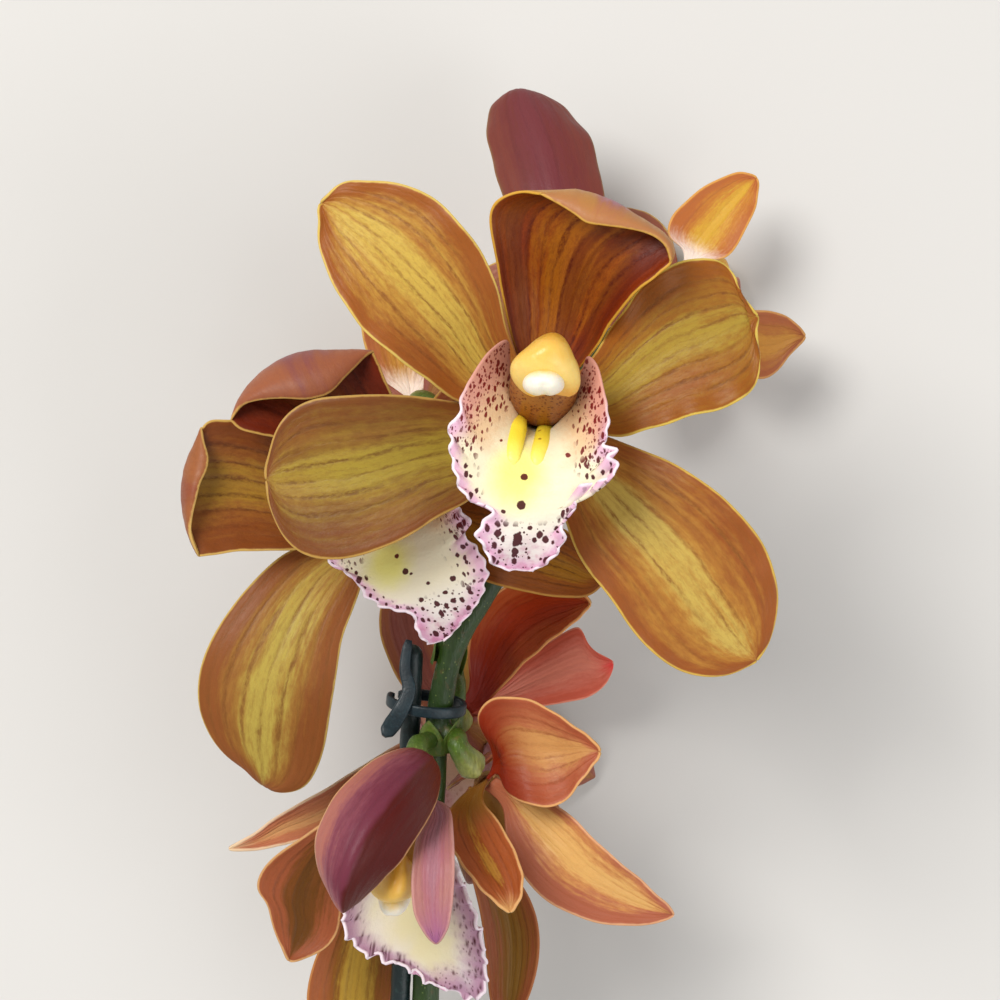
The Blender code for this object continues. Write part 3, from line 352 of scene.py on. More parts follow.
    g["top_dorsal_sepal"] = o(f, S_LEVEL, [(512, 215), (500, 185), (490, 150), (487, 125), (490, 108), (500, 99)],
                              [(604, 215), (600, 178), (593, 147), (576, 119), (558, 103), (544, 98)], (522, 96),
                              (36, 33, 29, 25, 22), (0.4, 2.0, 3.0, 2.5, 0.8), face=-1, **k)
    g["top_left_petal"] = s(f, P_LEVEL, -80, 27, 9, 71, 86, (0.2, 0.8, 1.0, 0.6), **k)
    g["top_right_petal"] = s(f, P_LEVEL, 80, 27, 9, 71, 86, (0.2, 0.8, 1.0, 0.6), **k)
    g["top_left_sepal"] = s(f, S_LEVEL, -115, 26, 11, 60, 92, (0.2, 1.0, 1.4, 0.8), shape="sepal", **k)
    g["top_right_sepal"] = s(f, S_LEVEL, 115, 26, 11, 60, 92, (0.2, 1.0, 1.4, 0.8), shape="sepal", **k)
    return g


# ============================================================ mesh making
def normals(grid, look):
    du, dv = np.gradient(grid, axis=0), np.gradient(grid, axis=1)
    n = np.cross(du, dv)
    ln = np.linalg.norm(n, axis=2)
    weak = ln < 0.02 * np.median(ln)
    n[weak] = 0
    for _ in range(6):
        if not (np.linalg.norm(n, axis=2) < 1e-9).any():
            break
        pad = np.pad(n, ((1, 1), (1, 1), (0, 0)), "edge")
        avg = pad[:-2, 1:-1] + pad[2:, 1:-1] + pad[1:-1, :-2] + pad[1:-1, 2:]
        hole = np.linalg.norm(n, axis=2) < 1e-9
        n[hole] = avg[hole]
    n /= np.maximum(np.linalg.norm(n, axis=2), 1e-12)[..., None]
    # smoothed once, so that a fold doesn't pinch the thickness
    pad = np.pad(n, ((1, 1), (1, 1), (0, 0)), "edge")
    n = n * 2 + pad[:-2, 1:-1] + pad[2:, 1:-1] + pad[1:-1, :-2] + pad[1:-1, 2:]
    n /= np.maximum(np.linalg.norm(n, axis=2), 1e-12)[..., None]
    half = n[: max(3, n.shape[0] // 2)]
    return n if (half @ np.asarray(look, float)).mean() > 0 else -n


def outward(verts, faces):
    v = np.asarray(verts)
    f = np.array([fc[:3] for fc in faces] + [(fc[0], fc[2], fc[3]) for fc in faces if len(fc) == 4])
    return np.einsum("ij,ij->i", v[f[:, 0]], np.cross(v[f[:, 1]], v[f[:, 2]])).sum() > 0


def blade(grid, look, thick, edge_thick=0.42, round_out=0.12):
    """A closed sheet: inner side, outer side and a rounded margin. Gives vertices, faces, face slots, uv grid values."""
    a, b = grid.shape[:2]
    n = normals(grid, look)
    t = np.linspace(-1, 1, b)
    uu = np.linspace(0, 1, a)
    prof = edge_thick + (1 - edge_thick) * np.minimum(1, ((1 - abs(t)) / 0.35)) ** 0.6
    lenp = np.minimum(1, (1 - uu) / 0.12) ** 0.6 * (1 - edge_thick) + edge_thick
    h = n * (thick / 2 * prof[None] * lenp[:, None])[..., None]
    inner, outer = grid + h, grid - h
    rimpts, rimidx = [], []
    ring = [(i, 0) for i in range(a)] + [(a - 1, j) for j in range(1, b)] + [(i, b - 1) for i in range(a - 2, -1, -1)] + [(0, j) for j in range(b - 2, 0, -1)]
    cross = np.gradient(grid, axis=1)
    runs = np.gradient(grid, axis=0)
    for i, j in ring:
        o = np.zeros(3)
        if j == 0:
            o -= cross[i, 0] / max(np.linalg.norm(cross[i, 0]), 1e-9)
        if j == b - 1:
            o += cross[i, -1] / max(np.linalg.norm(cross[i, -1]), 1e-9)
        if i == a - 1:
            o += runs[-1, j] / max(np.linalg.norm(runs[-1, j]), 1e-9)
        if i == 0:
            o -= runs[0, j] / max(np.linalg.norm(runs[0, j]), 1e-9)
        rimpts.append(grid[i, j] + o * round_out / max(np.linalg.norm(o), 1e-6))
        rimidx.append(i * b + j)
    verts = np.concatenate((inner.reshape(-1, 3), outer.reshape(-1, 3), np.array(rimpts)))
    N = a * b
    faces, slots = [], []
    I, J = np.meshgrid(np.arange(a - 1), np.arange(b - 1), indexing="ij")
    q = (I * b + J).ravel()
    f1 = np.stack([q, q + b, q + b + 1, q + 1], 1)
    faces += [tuple(x) for x in f1.tolist()]
    slots += [0] * len(q)
    faces += [tuple(x) for x in (f1[:, ::-1] + N).tolist()]
    slots += [1] * len(q)
    m = len(ring)
    for k in range(m):
        k2 = (k + 1) % m
        p, p2, r, r2 = rimidx[k], rimidx[k2], 2 * N + k, 2 * N + k2
        faces.append((p, p2, r2, r))
        faces.append((r, r2, p2 + N, p + N))
        slots += [0, 0]
    ok = outward(verts, faces)
    # the ring faces must run against the inner side's edges
    e = {}
    for fc in faces[: len(q)]:
        for x, y in zip(fc, fc[1:] + fc[:1]):
            e[(x, y)] = 1
    if (rimidx[0], rimidx[1]) in e:
        faces[2 * len(q):] = [fc[::-1] for fc in faces[2 * len(q):]]
        ok = outward(verts, faces)
    if not ok:
        faces = [fc[::-1] for fc in faces]
    T = np.tile(t, (a, 1))
    U = np.tile(uu[:, None], (1, b))
    st = np.stack([T, U], -1).reshape(-1, 2)
    st = np.concatenate((st, st, st[rimidx]))
    return verts, faces, slots, st


def piece(name, verts, faces, mats, slots=None, uv=None, attrs=None, smoothed=True):
    me = bpy.data.meshes.new(name)
    v = (np.asarray(verts, float) - ORIGIN) * 0.001
    me.from_pydata(v.tolist(), [], [tuple(int(i) for i in fc) for fc in faces])
    me.update()
    for m in mats:
        me.materials.append(m)
    if slots is not None:
        me.polygons.foreach_set("material_index", np.asarray(slots, np.int32))
    if uv is not None:
        layer = me.uv_layers.new(name="face")
        idx = np.empty(len(me.loops), np.int32)
        me.loops.foreach_get("vertex_index", idx)
        layer.data.foreach_set("uv", np.asarray(uv, np.float32)[idx].ravel())
    for key, val in (attrs or {}).items():
        at_ = me.attributes.new(key, "FLOAT", "POINT")
        at_.data.foreach_set("value", np.asarray(val, np.float32).ravel())
    if smoothed:
        me.shade_smooth()
    ob = bpy.data.objects.new(name, me)
    bpy.context.scene.collection.objects.link(ob)
    return ob


def loft(rings, closed=True):
    a, b = rings.shape[:2]
    faces = []
    I, J = np.meshgrid(np.arange(a - 1), np.arange(b), indexing="ij")
    K = (J + 1) % b
    f = np.stack([I * b + J, I * b + K, (I + 1) * b + K, (I + 1) * b + J], -1).reshape(-1, 4)
    faces = [tuple(x) for x in f.tolist()]
    verts = rings.reshape(-1, 3)
    if closed:
        c0, c1 = len(verts), len(verts) + 1
        verts = np.concatenate((verts, rings[0].mean(0)[None], rings[-1].mean(0)[None]))
        faces += [(c0, (j + 1) % b, j) for j in range(b)]
        faces += [(c1, (a - 1) * b + j, (a - 1) * b + (j + 1) % b) for j in range(b)]
    if not outward(verts, faces):
        faces = [fc[::-1] for fc in faces]
    return verts, faces


def tube_rings(line, u, radius, sides, start=(1, 0, 0)):
    p = along(line, np.asarray(u, float))
    fine = along(line, np.clip(np.asarray(u) + 0.004, 0, 1)) - along(line, np.clip(np.asarray(u) - 0.004, 0, 1))
    fine /= np.linalg.norm(fine, axis=1)[:, None]
    x = np.asarray(start, float)
    out = []
    for q, r, d in zip(p, radius, fine):
        x = unit(x - d * np.dot(x, d))
        y = np.cross(d, x)
        ang = np.arange(sides) * 2 * math.pi / sides
        out.append(q + (x[None] * np.cos(ang)[:, None] + y[None] * np.sin(ang)[:, None]) * r)
    return np.array(out)


def waves(rng, n, fu, ft):
    return [(rng.uniform(*fu), rng.uniform(*ft), rng.uniform(0, 6.28), rng.uniform(0.5, 1)) for _ in range(n)]


def relief(grid, look, seed, ruffle=0.3, swell=0.25, ribs=9):
    """Small natural unevenness: slow swells, a ruffled margin, fine ribs over the veins and a groove along the middle."""
    rng = np.random.default_rng(seed)
    a, b = grid.shape[:2]
    n = normals(grid, look)
    U, T = np.meshgrid(np.linspace(0, 1, a), np.linspace(-1, 1, b), indexing="ij")
    d = np.zeros((a, b))
    for fu, ft, ph, am in waves(rng, 5, (0.6, 2.2), (0.4, 1.6)):
        d += swell / 3 * am * np.sin(6.28 * (fu * U + ft * T / 2) + ph)
    side = np.where(T < 0, 0.0, 2.1)
    edge = sstep(0.55, 1.0, abs(T)) * sstep(0.08, 0.3, U)
    for fu, ft, ph, am in waves(rng, 4, (2.0, 6.5), (0, 0)):
        d += ruffle * am / 1.6 * edge * np.sin(6.28 * fu * U + ph + side)
    d += 0.045 * np.cos(T * math.pi * ribs) * sstep(0.03, 0.2, U) * (1 - sstep(0.75, 1, abs(T))) * (1 - 0.6 * sstep(0.7, 1, U))
    d -= 0.22 * np.exp(-(T / 0.055) ** 2) * (1 - sstep(0.5, 1.0, U))
    d *= (1 - 0.9 * sstep(0.84, 1.0, U)) * sstep(0.0, 0.08, U)
    return grid + n * d[..., None]


def margin(grid):
    """Distance of each grid point to the free margin, mm."""
    a, b = grid.shape[:2]
    step = np.linalg.norm(np.diff(grid, axis=1), axis=2)
    left = np.concatenate((np.zeros((a, 1)), np.cumsum(step, axis=1)), 1)
    right = left[:, -1:] - left
    run = np.linalg.norm(np.diff(grid, axis=0), axis=2)
    down = np.concatenate((np.cumsum(run[::-1], axis=0)[::-1], np.zeros((1, b))), 0)
    return np.minimum(np.minimum(left, right), down)


# ============================================================ materials
def lin(h):
    h = h.lstrip("#")
    c = [int(h[i:i + 2], 16) / 255 for i in (0, 2, 4)]
    return tuple(x / 12.92 if x <= 0.04045 else ((x + 0.055) / 1.055) ** 2.4 for x in c)


class Net:
    def __init__(self, name, rough=0.45, spec=0.4, sss=0.0, radius=(1.0, 0.35, 0.15), sheen=0.0):
        self.m = bpy.data.materials.new(name)
        self.m.use_nodes = True
        self.nt = self.m.node_tree
        self.b = self.nt.nodes["Principled BSDF"]
        self.b.inputs["Roughness"].default_value = rough
        self.b.inputs["Specular IOR Level"].default_value = spec
        self.b.inputs["Subsurface Weight"].default_value = sss
        self.b.inputs["Subsurface Radius"].default_value = radius
        self.b.inputs["Subsurface Scale"].default_value = 0.001
        self.b.inputs["Sheen Weight"].default_value = sheen
        uv = self.nt.nodes.new("ShaderNodeUVMap")
        uv.uv_map = "face"
        self.uv = uv.outputs[0]
        tc = self.nt.nodes.new("ShaderNodeTexCoord")
        self.pos = tc.outputs["Object"]

    def set(self, sock, v):
        if isinstance(v, bpy.types.NodeSocket):
            self.nt.links.new(v, sock)
        elif isinstance(v, (tuple, list)) and len(v) == 3 and sock.type == "RGBA":
            sock.default_value = (*v, 1)
        else:
            sock.default_value = v

    def f(self, op, *a, clamp=False):
        n = self.nt.nodes.new("ShaderNodeMath")
        n.operation, n.use_clamp = op, clamp
        for i, x in enumerate(a):
            self.set(n.inputs[i], x)
        return n.outputs[0]

    def v(self, op, *a):
        n = self.nt.nodes.new("ShaderNodeVectorMath")
        n.operation = op
        for i, x in enumerate(a):
            self.set(n.inputs[i], x)
        return n.outputs[1] if op in ("LENGTH", "DISTANCE", "DOT_PRODUCT") else n.outputs[0]

    def scale(self, vec, s):
        n = self.nt.nodes.new("ShaderNodeVectorMath")
        n.operation = "MULTIPLY"
        self.set(n.inputs[0], vec)
        n.inputs[1].default_value = s if isinstance(s, tuple) else (s, s, s)
        return n.outputs[0]

    def mix(self, fac, a, b, mode="MIX"):
        n = self.nt.nodes.new("ShaderNodeMix")
        n.data_type, n.blend_type = "RGBA", mode
        self.set(n.inputs[0], fac)
        self.set(n.inputs[6], a)
        self.set(n.inputs[7], b)
        return n.outputs[2]

    def noise(self, vec, scale, detail=2.0, rough=0.5, dist=0.0, color=False):
        n = self.nt.nodes.new("ShaderNodeTexNoise")
        self.set(n.inputs["Vector"], vec)
        n.inputs["Scale"].default_value = scale
        n.inputs["Detail"].default_value = detail
        n.inputs["Roughness"].default_value = rough
        n.inputs["Distortion"].default_value = dist
        return n.outputs[1] if color else n.outputs[0]

    def voronoi(self, vec, scale, rand=1.0, feature="F1", flat=False):
        n = self.nt.nodes.new("ShaderNodeTexVoronoi")
        n.feature = feature
        if flat:
            n.voronoi_dimensions = "2D"
        self.set(n.inputs["Vector"], vec)
        n.inputs["Scale"].default_value = scale
        n.inputs["Randomness"].default_value = rand
        return n

    def sep(self, vec):
        n = self.nt.nodes.new("ShaderNodeSeparateXYZ")
        self.set(n.inputs[0], vec)
        return n.outputs

    def com(self, x, y, z=0.0):
        n = self.nt.nodes.new("ShaderNodeCombineXYZ")
        for i, q in enumerate((x, y, z)):
            self.set(n.inputs[i], q)
        return n.outputs[0]

    def attr(self, name):
        n = self.nt.nodes.new("ShaderNodeAttribute")
        n.attribute_name = name
        return n.outputs["Fac"]

    def step(self, x, a, b, lo=0.0, hi=1.0):
        n = self.nt.nodes.new("ShaderNodeMapRange")
        n.interpolation_type = "SMOOTHSTEP"
        self.set(n.inputs[0], x)
        for i, q in enumerate((a, b, lo, hi)):
            n.inputs[i + 1].default_value = q
        return n.outputs[0]

    def bump(self, height, dist, strength=1.0):
        n = self.nt.nodes.new("ShaderNodeBump")
        n.inputs["Strength"].default_value = strength
        n.inputs["Distance"].default_value = dist
        self.set(n.inputs["Height"], height)
        self.set(self.b.inputs["Normal"], n.outputs[0])

    def colour(self, c):
        self.set(self.b.inputs["Base Color"], c)


def tepal_mat(name, centre, mid, edge, rim, vein, veins=9, vein_amount=0.75, base=None, base_len=0.16, tip=None, tip_len=0.2,
              spread_in=(0.12, 0.85), rim_w=0.34, rough=0.42, seed=0.0, blush=None, sss=0.06, mottle=0.5, shift=0.0, stripes=None, half=None):
    """A waxy tepal: a paler band along the middle, copper margins, a fine pale rim, and broken dotted veins."""
    g = Net(name, rough, 0.2, sss, (1.0, 0.4, 0.15))
    s = g.sep(g.uv)
    t, u = s[0], s[1]
    edge_mm = g.attr("edge")
    p3 = g.com(t, u, seed)
    slow = g.noise(g.scale(p3, (1.6, 2.6, 1.0)), 1.0, 3, 0.55)
    fine = g.noise(g.scale(p3, (14, 26, 1.0)), 1.0, 4, 0.6)
    grain = g.noise(g.scale(p3, (60, 100, 1.0)), 1.0, 3, 0.7)
    streak = g.noise(g.scale(g.com(t, u, seed + 4.0), (7.0, 1.3, 1.0)), 1.0, 3, 0.6)
    ts = g.f("SUBTRACT", t, shift)
    at_ = g.f("ABSOLUTE", ts)
    w = g.f("ADD", at_, g.f("MULTIPLY", g.f("SUBTRACT", slow, 0.5), 0.8))
    w = g.f("ADD", w, g.f("MULTIPLY", g.f("SUBTRACT", fine, 0.5), 0.45))
    w = g.f("ADD", w, g.f("MULTIPLY", g.f("SUBTRACT", streak, 0.5), 0.75))
    w = g.f("ADD", w, g.step(u, 1.0 - tip_len * 1.6, 1.02, 0.0, 0.6))
    a = g.step(w, spread_in[0], (spread_in[0] + spread_in[1]) / 2 + 0.04)
    b = g.step(w, (spread_in[0] + spread_in[1]) / 2 - 0.08, spread_in[1])
    col = g.mix(b, g.mix(a, lin(centre), lin(mid)), lin(edge))
    if half:
        # one side of the tepal, split along t, takes another colour: painted shade over the shadowed half of the keeled
        # lower left dorsal sepal, a paler margin on the top dorsal sepal
        col = g.mix(g.f("MULTIPLY", g.step(g.f("ADD", t, g.f("MULTIPLY", g.f("SUBTRACT", slow, 0.5), 0.5)), half[1], half[2]), half[3]), col, lin(half[0]))
    if stripes:
        # long soft streaks that follow the veins
        st = g.noise(g.scale(p3, (5.5, 0.9, 1.0)), 1.0, 3, 0.6)
        col = g.mix(g.f("MULTIPLY", g.step(st, 0.44, 0.60), stripes[1]), col, lin(stripes[0]))
    if blush:
        col = g.mix(g.f("MULTIPLY", g.step(g.noise(g.scale(p3, (1.1, 1.4, 1.0)), 1.3, 2, 0.5), 0.42, 0.68), blush[1]), col, lin(blush[0]))
    # mottling in fine grains along the length
    gr = g.step(g.f("ADD", g.f("MULTIPLY", grain, 0.5), g.f("MULTIPLY", fine, 0.5)), 0.44, 0.60)
    col = g.mix(g.f("MULTIPLY", gr, 0.34 * mottle), col, lin(vein), "MIX")
    # veins, as rows of merging dots
    wob = g.f("MULTIPLY", g.f("SUBTRACT", g.noise(g.scale(p3, (2.2, 5.0, 1.0)), 1.0, 2, 0.5), 0.5), 0.14)
    ragged = g.f("MULTIPLY", g.f("SUBTRACT", g.noise(g.scale(p3, (30, 46, 2.0)), 1.0, 2, 0.6), 0.5), 0.05)
    tv = g.f("ADD", g.f("ADD", t, wob), ragged)
    line = g.f("PINGPONG", g.f("ADD", g.f("MULTIPLY", tv, veins / 2.0), 0.5 + 0.5 * (veins % 2)), 0.5)
    width = g.step(g.noise(g.scale(p3, (7.0, 10.0, 3.0)), 1.0, 2, 0.5), 0.3, 0.7, 0.12, 0.30)
    on = g.step(g.f("DIVIDE", line, width), 0.15, 1.0, 1.0, 0.0)
    dots = g.step(g.noise(g.scale(p3, (22, 40, 5.0)), 1.0, 3, 0.7), 0.40, 0.60)
    gaps = g.step(g.noise(g.scale(p3, (4.0, 3.0, 8.0)), 1.0, 2, 0.5), 0.34, 0.58, 0.2, 1.0)
    fade = g.f("MULTIPLY", g.step(g.f("ABSOLUTE", t), 0.76, 0.95, 1.0, 0.0), g.step(u, 0.62, 0.93, 1.0, 0.0))
    vn = g.f("MULTIPLY", g.f("MULTIPLY", on, g.f("ADD", 0.40, g.f("MULTIPLY", dots, 0.60))), g.f("MULTIPLY", gaps, fade))
    l2 = g.f("PINGPONG", g.f("MULTIPLY", g.f("ADD", tv, wob), veins * 1.0), 0.5)
    on2 = g.f("MULTIPLY", g.step(l2, 0.02, 0.24, 1.0, 0.0), g.f("MULTIPLY", dots, fade))
    vall = g.f("MAXIMUM", g.f("MULTIPLY", vn, vein_amount), g.f("MULTIPLY", on2, 0.26 * vein_amount))
    col = g.mix(vall, col, lin(vein))
    # a colour at the base: the tepal's own paler or darker base on most, painted shade on the lower right right petal
    # and on the outer side of the lower left dorsal sepal
    if base:
        col = g.mix(g.step(g.f("ADD", u, g.f("MULTIPLY", g.f("SUBTRACT", fine, 0.5), 0.12)), base_len * 0.3, base_len, 1.0, 0.0), col, lin(base))
    if tip:
        col = g.mix(g.step(g.f("ADD", u, g.f("MULTIPLY", g.f("SUBTRACT", slow, 0.5), 0.3)), 1.0 - tip_len, 1.0), col, lin(tip))
    ed = g.f("ADD", edge_mm, g.f("MULTIPLY", g.f("SUBTRACT", fine, 0.5), 0.35))
    col = g.mix(g.f("MULTIPLY", g.step(ed, 0.02, rim_w, 0.85, 0.0), g.step(u, 0.08, 0.26)), col, lin(rim))
    g.colour(col)
    cell = g.noise(g.pos, 2600.0, 2, 0.5)
    g.bump(g.f("ADD", g.f("MULTIPLY", g.f("ADD", on, g.f("MULTIPLY", on2, 0.5)), -0.35), g.f("ADD", g.f("MULTIPLY", cell, 0.35), g.f("MULTIPLY", fine, 0.6))), 0.00016, 0.5)
    g.set(g.b.inputs["Roughness"], g.step(fine, 0.2, 0.8, rough - 0.05, rough + 0.10))
    return g.m


def lip_mat(name, spots, seed=0.0, inside=True, dense=1.0, blur=1.0, plain_and_shaded=False, yc=-10.6, yr=5.6, wash=None):
    """The lip, in the flower's own plane (uv = mm / 40 + 0.5): cream, a yellow middle, pink frill, maroon spots and streaks."""
    g = Net(name, 0.42, 0.2, 0.03, (1.2, 0.7, 0.5))
    mm = g.scale(g.v("SUBTRACT", g.uv, (0.5, 0.5, 0.0)), (40.0, 40.0, 0.0))
    s = g.sep(mm)
    x, y = s[0], s[1]
    q, a, edge = g.attr("along"), g.attr("side"), g.attr("edge")
    p = g.com(x, y, seed)
    slow = g.noise(p, 0.28, 2, 0.5)
    fine = g.noise(p, 1.6, 4, 0.6)
    cream, white, yellow = lin("#E6DCBE"), lin("#E9E2DC"), lin("#EFE874")
    # painted shade: the plain lip takes dimmed copies of the cream, white and yellow below, and a darker purple frill,
    # for the shade the lower lip lies in
    if plain_and_shaded:
        cream, white, yellow = lin("#D9CFC0"), lin("#DDD5D2"), lin("#DDD07C")
    maroon = lin("#44000F")
    col = g.mix(g.step(q, 0.55, 0.85), cream, white)
    # yellow middle: an elongated soft patch below the ridges
    dx, dy = g.f("DIVIDE", g.f("ADD", x, 2.2), 5.0), g.f("DIVIDE", g.f("SUBTRACT", y, yc), yr)
    r = g.f("SQRT", g.f("ADD", g.f("MULTIPLY", dx, dx), g.f("MULTIPLY", dy, dy)))
    r = g.f("ADD", r, g.f("MULTIPLY", g.f("SUBTRACT", slow, 0.5), 0.5))
    if plain_and_shaded:
        r = g.f("ADD", g.f("MULTIPLY", a, 1.3), g.f("ADD", g.f("MULTIPLY", q, 0.5), g.f("MULTIPLY", g.f("SUBTRACT", slow, 0.5), 0.8)))
    col = g.mix(g.step(r, 0.30, 1.25, 0.5 if plain_and_shaded else 0.80, 0.0), col, yellow)
    # side lobes: tan by the column, rose towards the free margin
    lobe = g.step(q, 0.24, 0.36, 1.0, 0.0)
    wa = g.f("ADD", a, g.f("MULTIPLY", g.f("SUBTRACT", fine, 0.5), 0.25))
    if not plain_and_shaded:
        col = g.mix(g.f("MULTIPLY", g.f("MULTIPLY", lobe, g.step(wa, 0.30, 0.62)), 0.85), col, lin("#DDB78C"))
        col = g.mix(g.f("MULTIPLY", g.f("MULTIPLY", lobe, g.step(wa, 0.62, 0.92)), 0.85), col, lin("#CC8A80"))
    else:
        lobe = g.f("MULTIPLY", lobe, 0.0)
    # frill: lavender pink with a paler rim
    fr = g.step(g.f("ADD", edge, g.f("MULTIPLY", g.f("SUBTRACT", fine, 0.5), 2.4)), 0.8, 7.0 if plain_and_shaded else 4.2, 1.0, 0.0)
    col = g.mix(g.f("MULTIPLY", g.f("MULTIPLY", fr, g.step(q, 0.22, 0.32)), 0.9), col, lin("#AC7C9A" if plain_and_shaded else "#DDABC8"))
    warp = g.f("MULTIPLY", g.f("SUBTRACT", g.noise(p, 0.9, 2, 0.5), 0.5), 0.6)
    pw = g.com(g.f("ADD", x, warp), g.f("ADD", y, warp), seed)

    def cells(scale, sx, sy, r0, r1, keep, off):
        n = g.voronoi(g.scale(g.v("ADD", pw, (off + seed, off * 1.7, 0.0)), (sx, sy, 1.0)), scale, 0.95, flat=True)
        c = g.sep(n.outputs["Color"])
        rad = g.f("ADD", r0, g.f("MULTIPLY", c[0], r1 - r0))
        d = g.f("ADD", n.outputs["Distance"], g.f("MULTIPLY", g.f("SUBTRACT", fine, 0.5), 0.22))
        soft = g.f("DIVIDE", g.f("SUBTRACT", rad, d), 0.08 * blur, clamp=True)
        return g.f("MULTIPLY", soft, g.f("LESS_THAN", c[1], keep))

    mid_zone = g.f("MULTIPLY", g.step(q, 0.66, 0.74), g.step(edge, 0.25, 0.7))
    side_zone = g.f("MULTIPLY", g.f("MULTIPLY", g.step(q, 0.26, 0.34), g.step(q, 0.70, 0.76, 1.0, 0.0)), g.f("MULTIPLY", g.step(a, 0.48, 0.62), g.step(edge, 0.2, 0.6)))
    lobe_zone = g.f("MULTIPLY", g.f("MULTIPLY", g.step(q, 0.03, 0.08), g.step(q, 0.36, 0.44, 1.0, 0.0)), g.f("MULTIPLY", g.step(a, 0.50, 0.62), g.step(edge, 0.15, 0.5)))
    if plain_and_shaded:
        mid_zone = g.f("MULTIPLY", g.step(edge, 6.0, 3.0), g.step(edge, 0.2, 0.6))
        side_zone, lobe_zone = g.f("MULTIPLY", mid_zone, 0.8), g.f("MULTIPLY", mid_zone, 0.0)
    m1 = g.f("MULTIPLY", cells(0.62, 1.0, 0.85, 0.15, 0.36, 0.86 * dense, 0.0), mid_zone)
    m1b = g.f("MULTIPLY", cells(1.35, 1.0, 1.0, 0.13, 0.34, 0.42 * dense, 5.0), mid_zone)
    m2 = g.f("MULTIPLY", cells(0.80, 1.15, 0.75, 0.14, 0.38, 0.74 * dense, 9.0), side_zone)
    m3 = g.f("MULTIPLY", cells(0.95, 1.5, 0.6, 0.14, 0.40, 0.86 * dense, 3.0), lobe_zone)
    m3b = g.f("MULTIPLY", g.f("MULTIPLY", cells(2.1, 1.3, 0.7, 0.14, 0.42, 0.62, 17.0), lobe_zone), g.step(a, 0.60, 0.78, 0.0, 0.85))
    mark = g.f("MAXIMUM", g.f("MAXIMUM", m1, m1b), g.f("MAXIMUM", m2, g.f("MAXIMUM", m3, m3b)))
    big = None
    for sx, sy, rr, el in spots:
        dxx = g.f("SUBTRACT", x, sx)
        dyy = g.f("DIVIDE", g.f("SUBTRACT", y, sy), el)
        dd = g.f("SQRT", g.f("ADD", g.f("MULTIPLY", dxx, dxx), g.f("MULTIPLY", dyy, dyy)))
        dd = g.f("ADD", dd, g.f("MULTIPLY", g.f("SUBTRACT", fine, 0.5), 0.45))
        one = g.f("DIVIDE", g.f("SUBTRACT", rr, dd), 0.12, clamp=True)
        big = one if big is None else g.f("MAXIMUM", big, one)
    if big is not None:
        mark = g.f("MAXIMUM", mark, big)
    # a rosy wash around the spots of the middle lobe
    haze = g.f("MULTIPLY", g.step(q, 0.72, 0.90), g.step(g.noise(p, 0.55, 3, 0.6), 0.40, 0.66, 0.1, 0.75))
    if not plain_and_shaded:
        col = g.mix(g.f("MULTIPLY", haze, 0.75), col, lin("#C0608C"))
    tone = g.mix(g.step(q, 0.22, 0.45), lin("#740C12"), maroon)
    col = g.mix(g.f("MULTIPLY", mark, 0.97 if inside else 0.35), col, tone)
    # pale rolled rim
    col = g.mix(g.f("MULTIPLY", g.step(edge, 0.05, 0.62, 0.9, 0.0), g.step(q, 0.20, 0.30)), col, lin("#F0E2EA"))
    col = g.mix(g.step(q, 0.0, 0.06, 0.8, 0.0), col, lin("#C99A5C"))
    g.colour(col)
    if wash:
        g.colour(g.mix(wash[1], col, lin(wash[0])))
    g.bump(g.f("ADD", g.f("MULTIPLY", fine, 0.6), g.f("MULTIPLY", g.noise(g.pos, 2200.0, 2, 0.5), 0.4)), 0.0003, 0.5)
    return g.m


def column_mat(name):
    g = Net(name, 0.40, 0.4, 0.15, (1.4, 0.7, 0.4))
    under, len_ = g.attr("under"), g.attr("along")
    p = g.scale(g.pos, 1000.0)
    fine = g.noise(p, 1.2, 3, 0.6)
    back = g.mix(g.step(len_, 0.2, 0.9), lin("#A07030"), lin("#D9A848"))
    belly = g.mix(g.step(g.f("ADD", len_, g.f("MULTIPLY", g.f("SUBTRACT", fine, 0.5), 0.2)), 0.2, 0.75), lin("#8A4C12"), lin("#AE7844"))
    col = g.mix(g.step(under, 0.35, 0.6), back, belly)
    n = g.voronoi(p, 2.3, 1.0)
    c = g.sep(n.outputs["Color"])
    d = g.f("DIVIDE", g.f("SUBTRACT", g.f("MULTIPLY", c[0], 0.75), n.outputs["Distance"]), 0.12, clamp=True)
    d = g.f("MULTIPLY", d, g.f("MULTIPLY", g.step(under, 0.3, 0.6), g.f("LESS_THAN", c[1], 0.85)))
    col = g.mix(g.f("MULTIPLY", d, 0.8), col, lin("#5E1E0A"))
    g.colour(col)
    g.bump(fine, 0.00025, 0.5)
    return g.m


def keel_mat(name):
    """Bright yellow, a little orange at the free end, with a few brown dots."""
    g = Net(name, 0.36, 0.35, 0.08, (1.2, 0.9, 0.2))
    h = g.attr("along")
    p = g.scale(g.pos, 1000.0)
    fine = g.noise(p, 1.4, 3, 0.6)
    col = g.mix(g.step(g.f("ADD", h, g.f("MULTIPLY", g.f("SUBTRACT", fine, 0.5), 0.3)), 0.0, 0.35), lin("#E0AE28"), lin("#EBD43A"))
    col = g.mix(g.step(h, 0.45, 1.0), col, lin("#F0E878"))
    n = g.voronoi(p, 0.62, 1.0)
    c = g.sep(n.outputs["Color"])
    d = g.f("DIVIDE", g.f("SUBTRACT", 0.22, n.outputs["Distance"]), 0.06, clamp=True)
    d = g.f("MULTIPLY", d, g.f("MULTIPLY", g.f("LESS_THAN", c[1], 0.6), g.step(h, 0.55, 0.75, 1.0, 0.0)))
    col = g.mix(g.f("MULTIPLY", d, 0.8), col, lin("#8A4A14"))
    g.colour(col)
    g.bump(fine, 0.0002, 0.5)
    return g.m


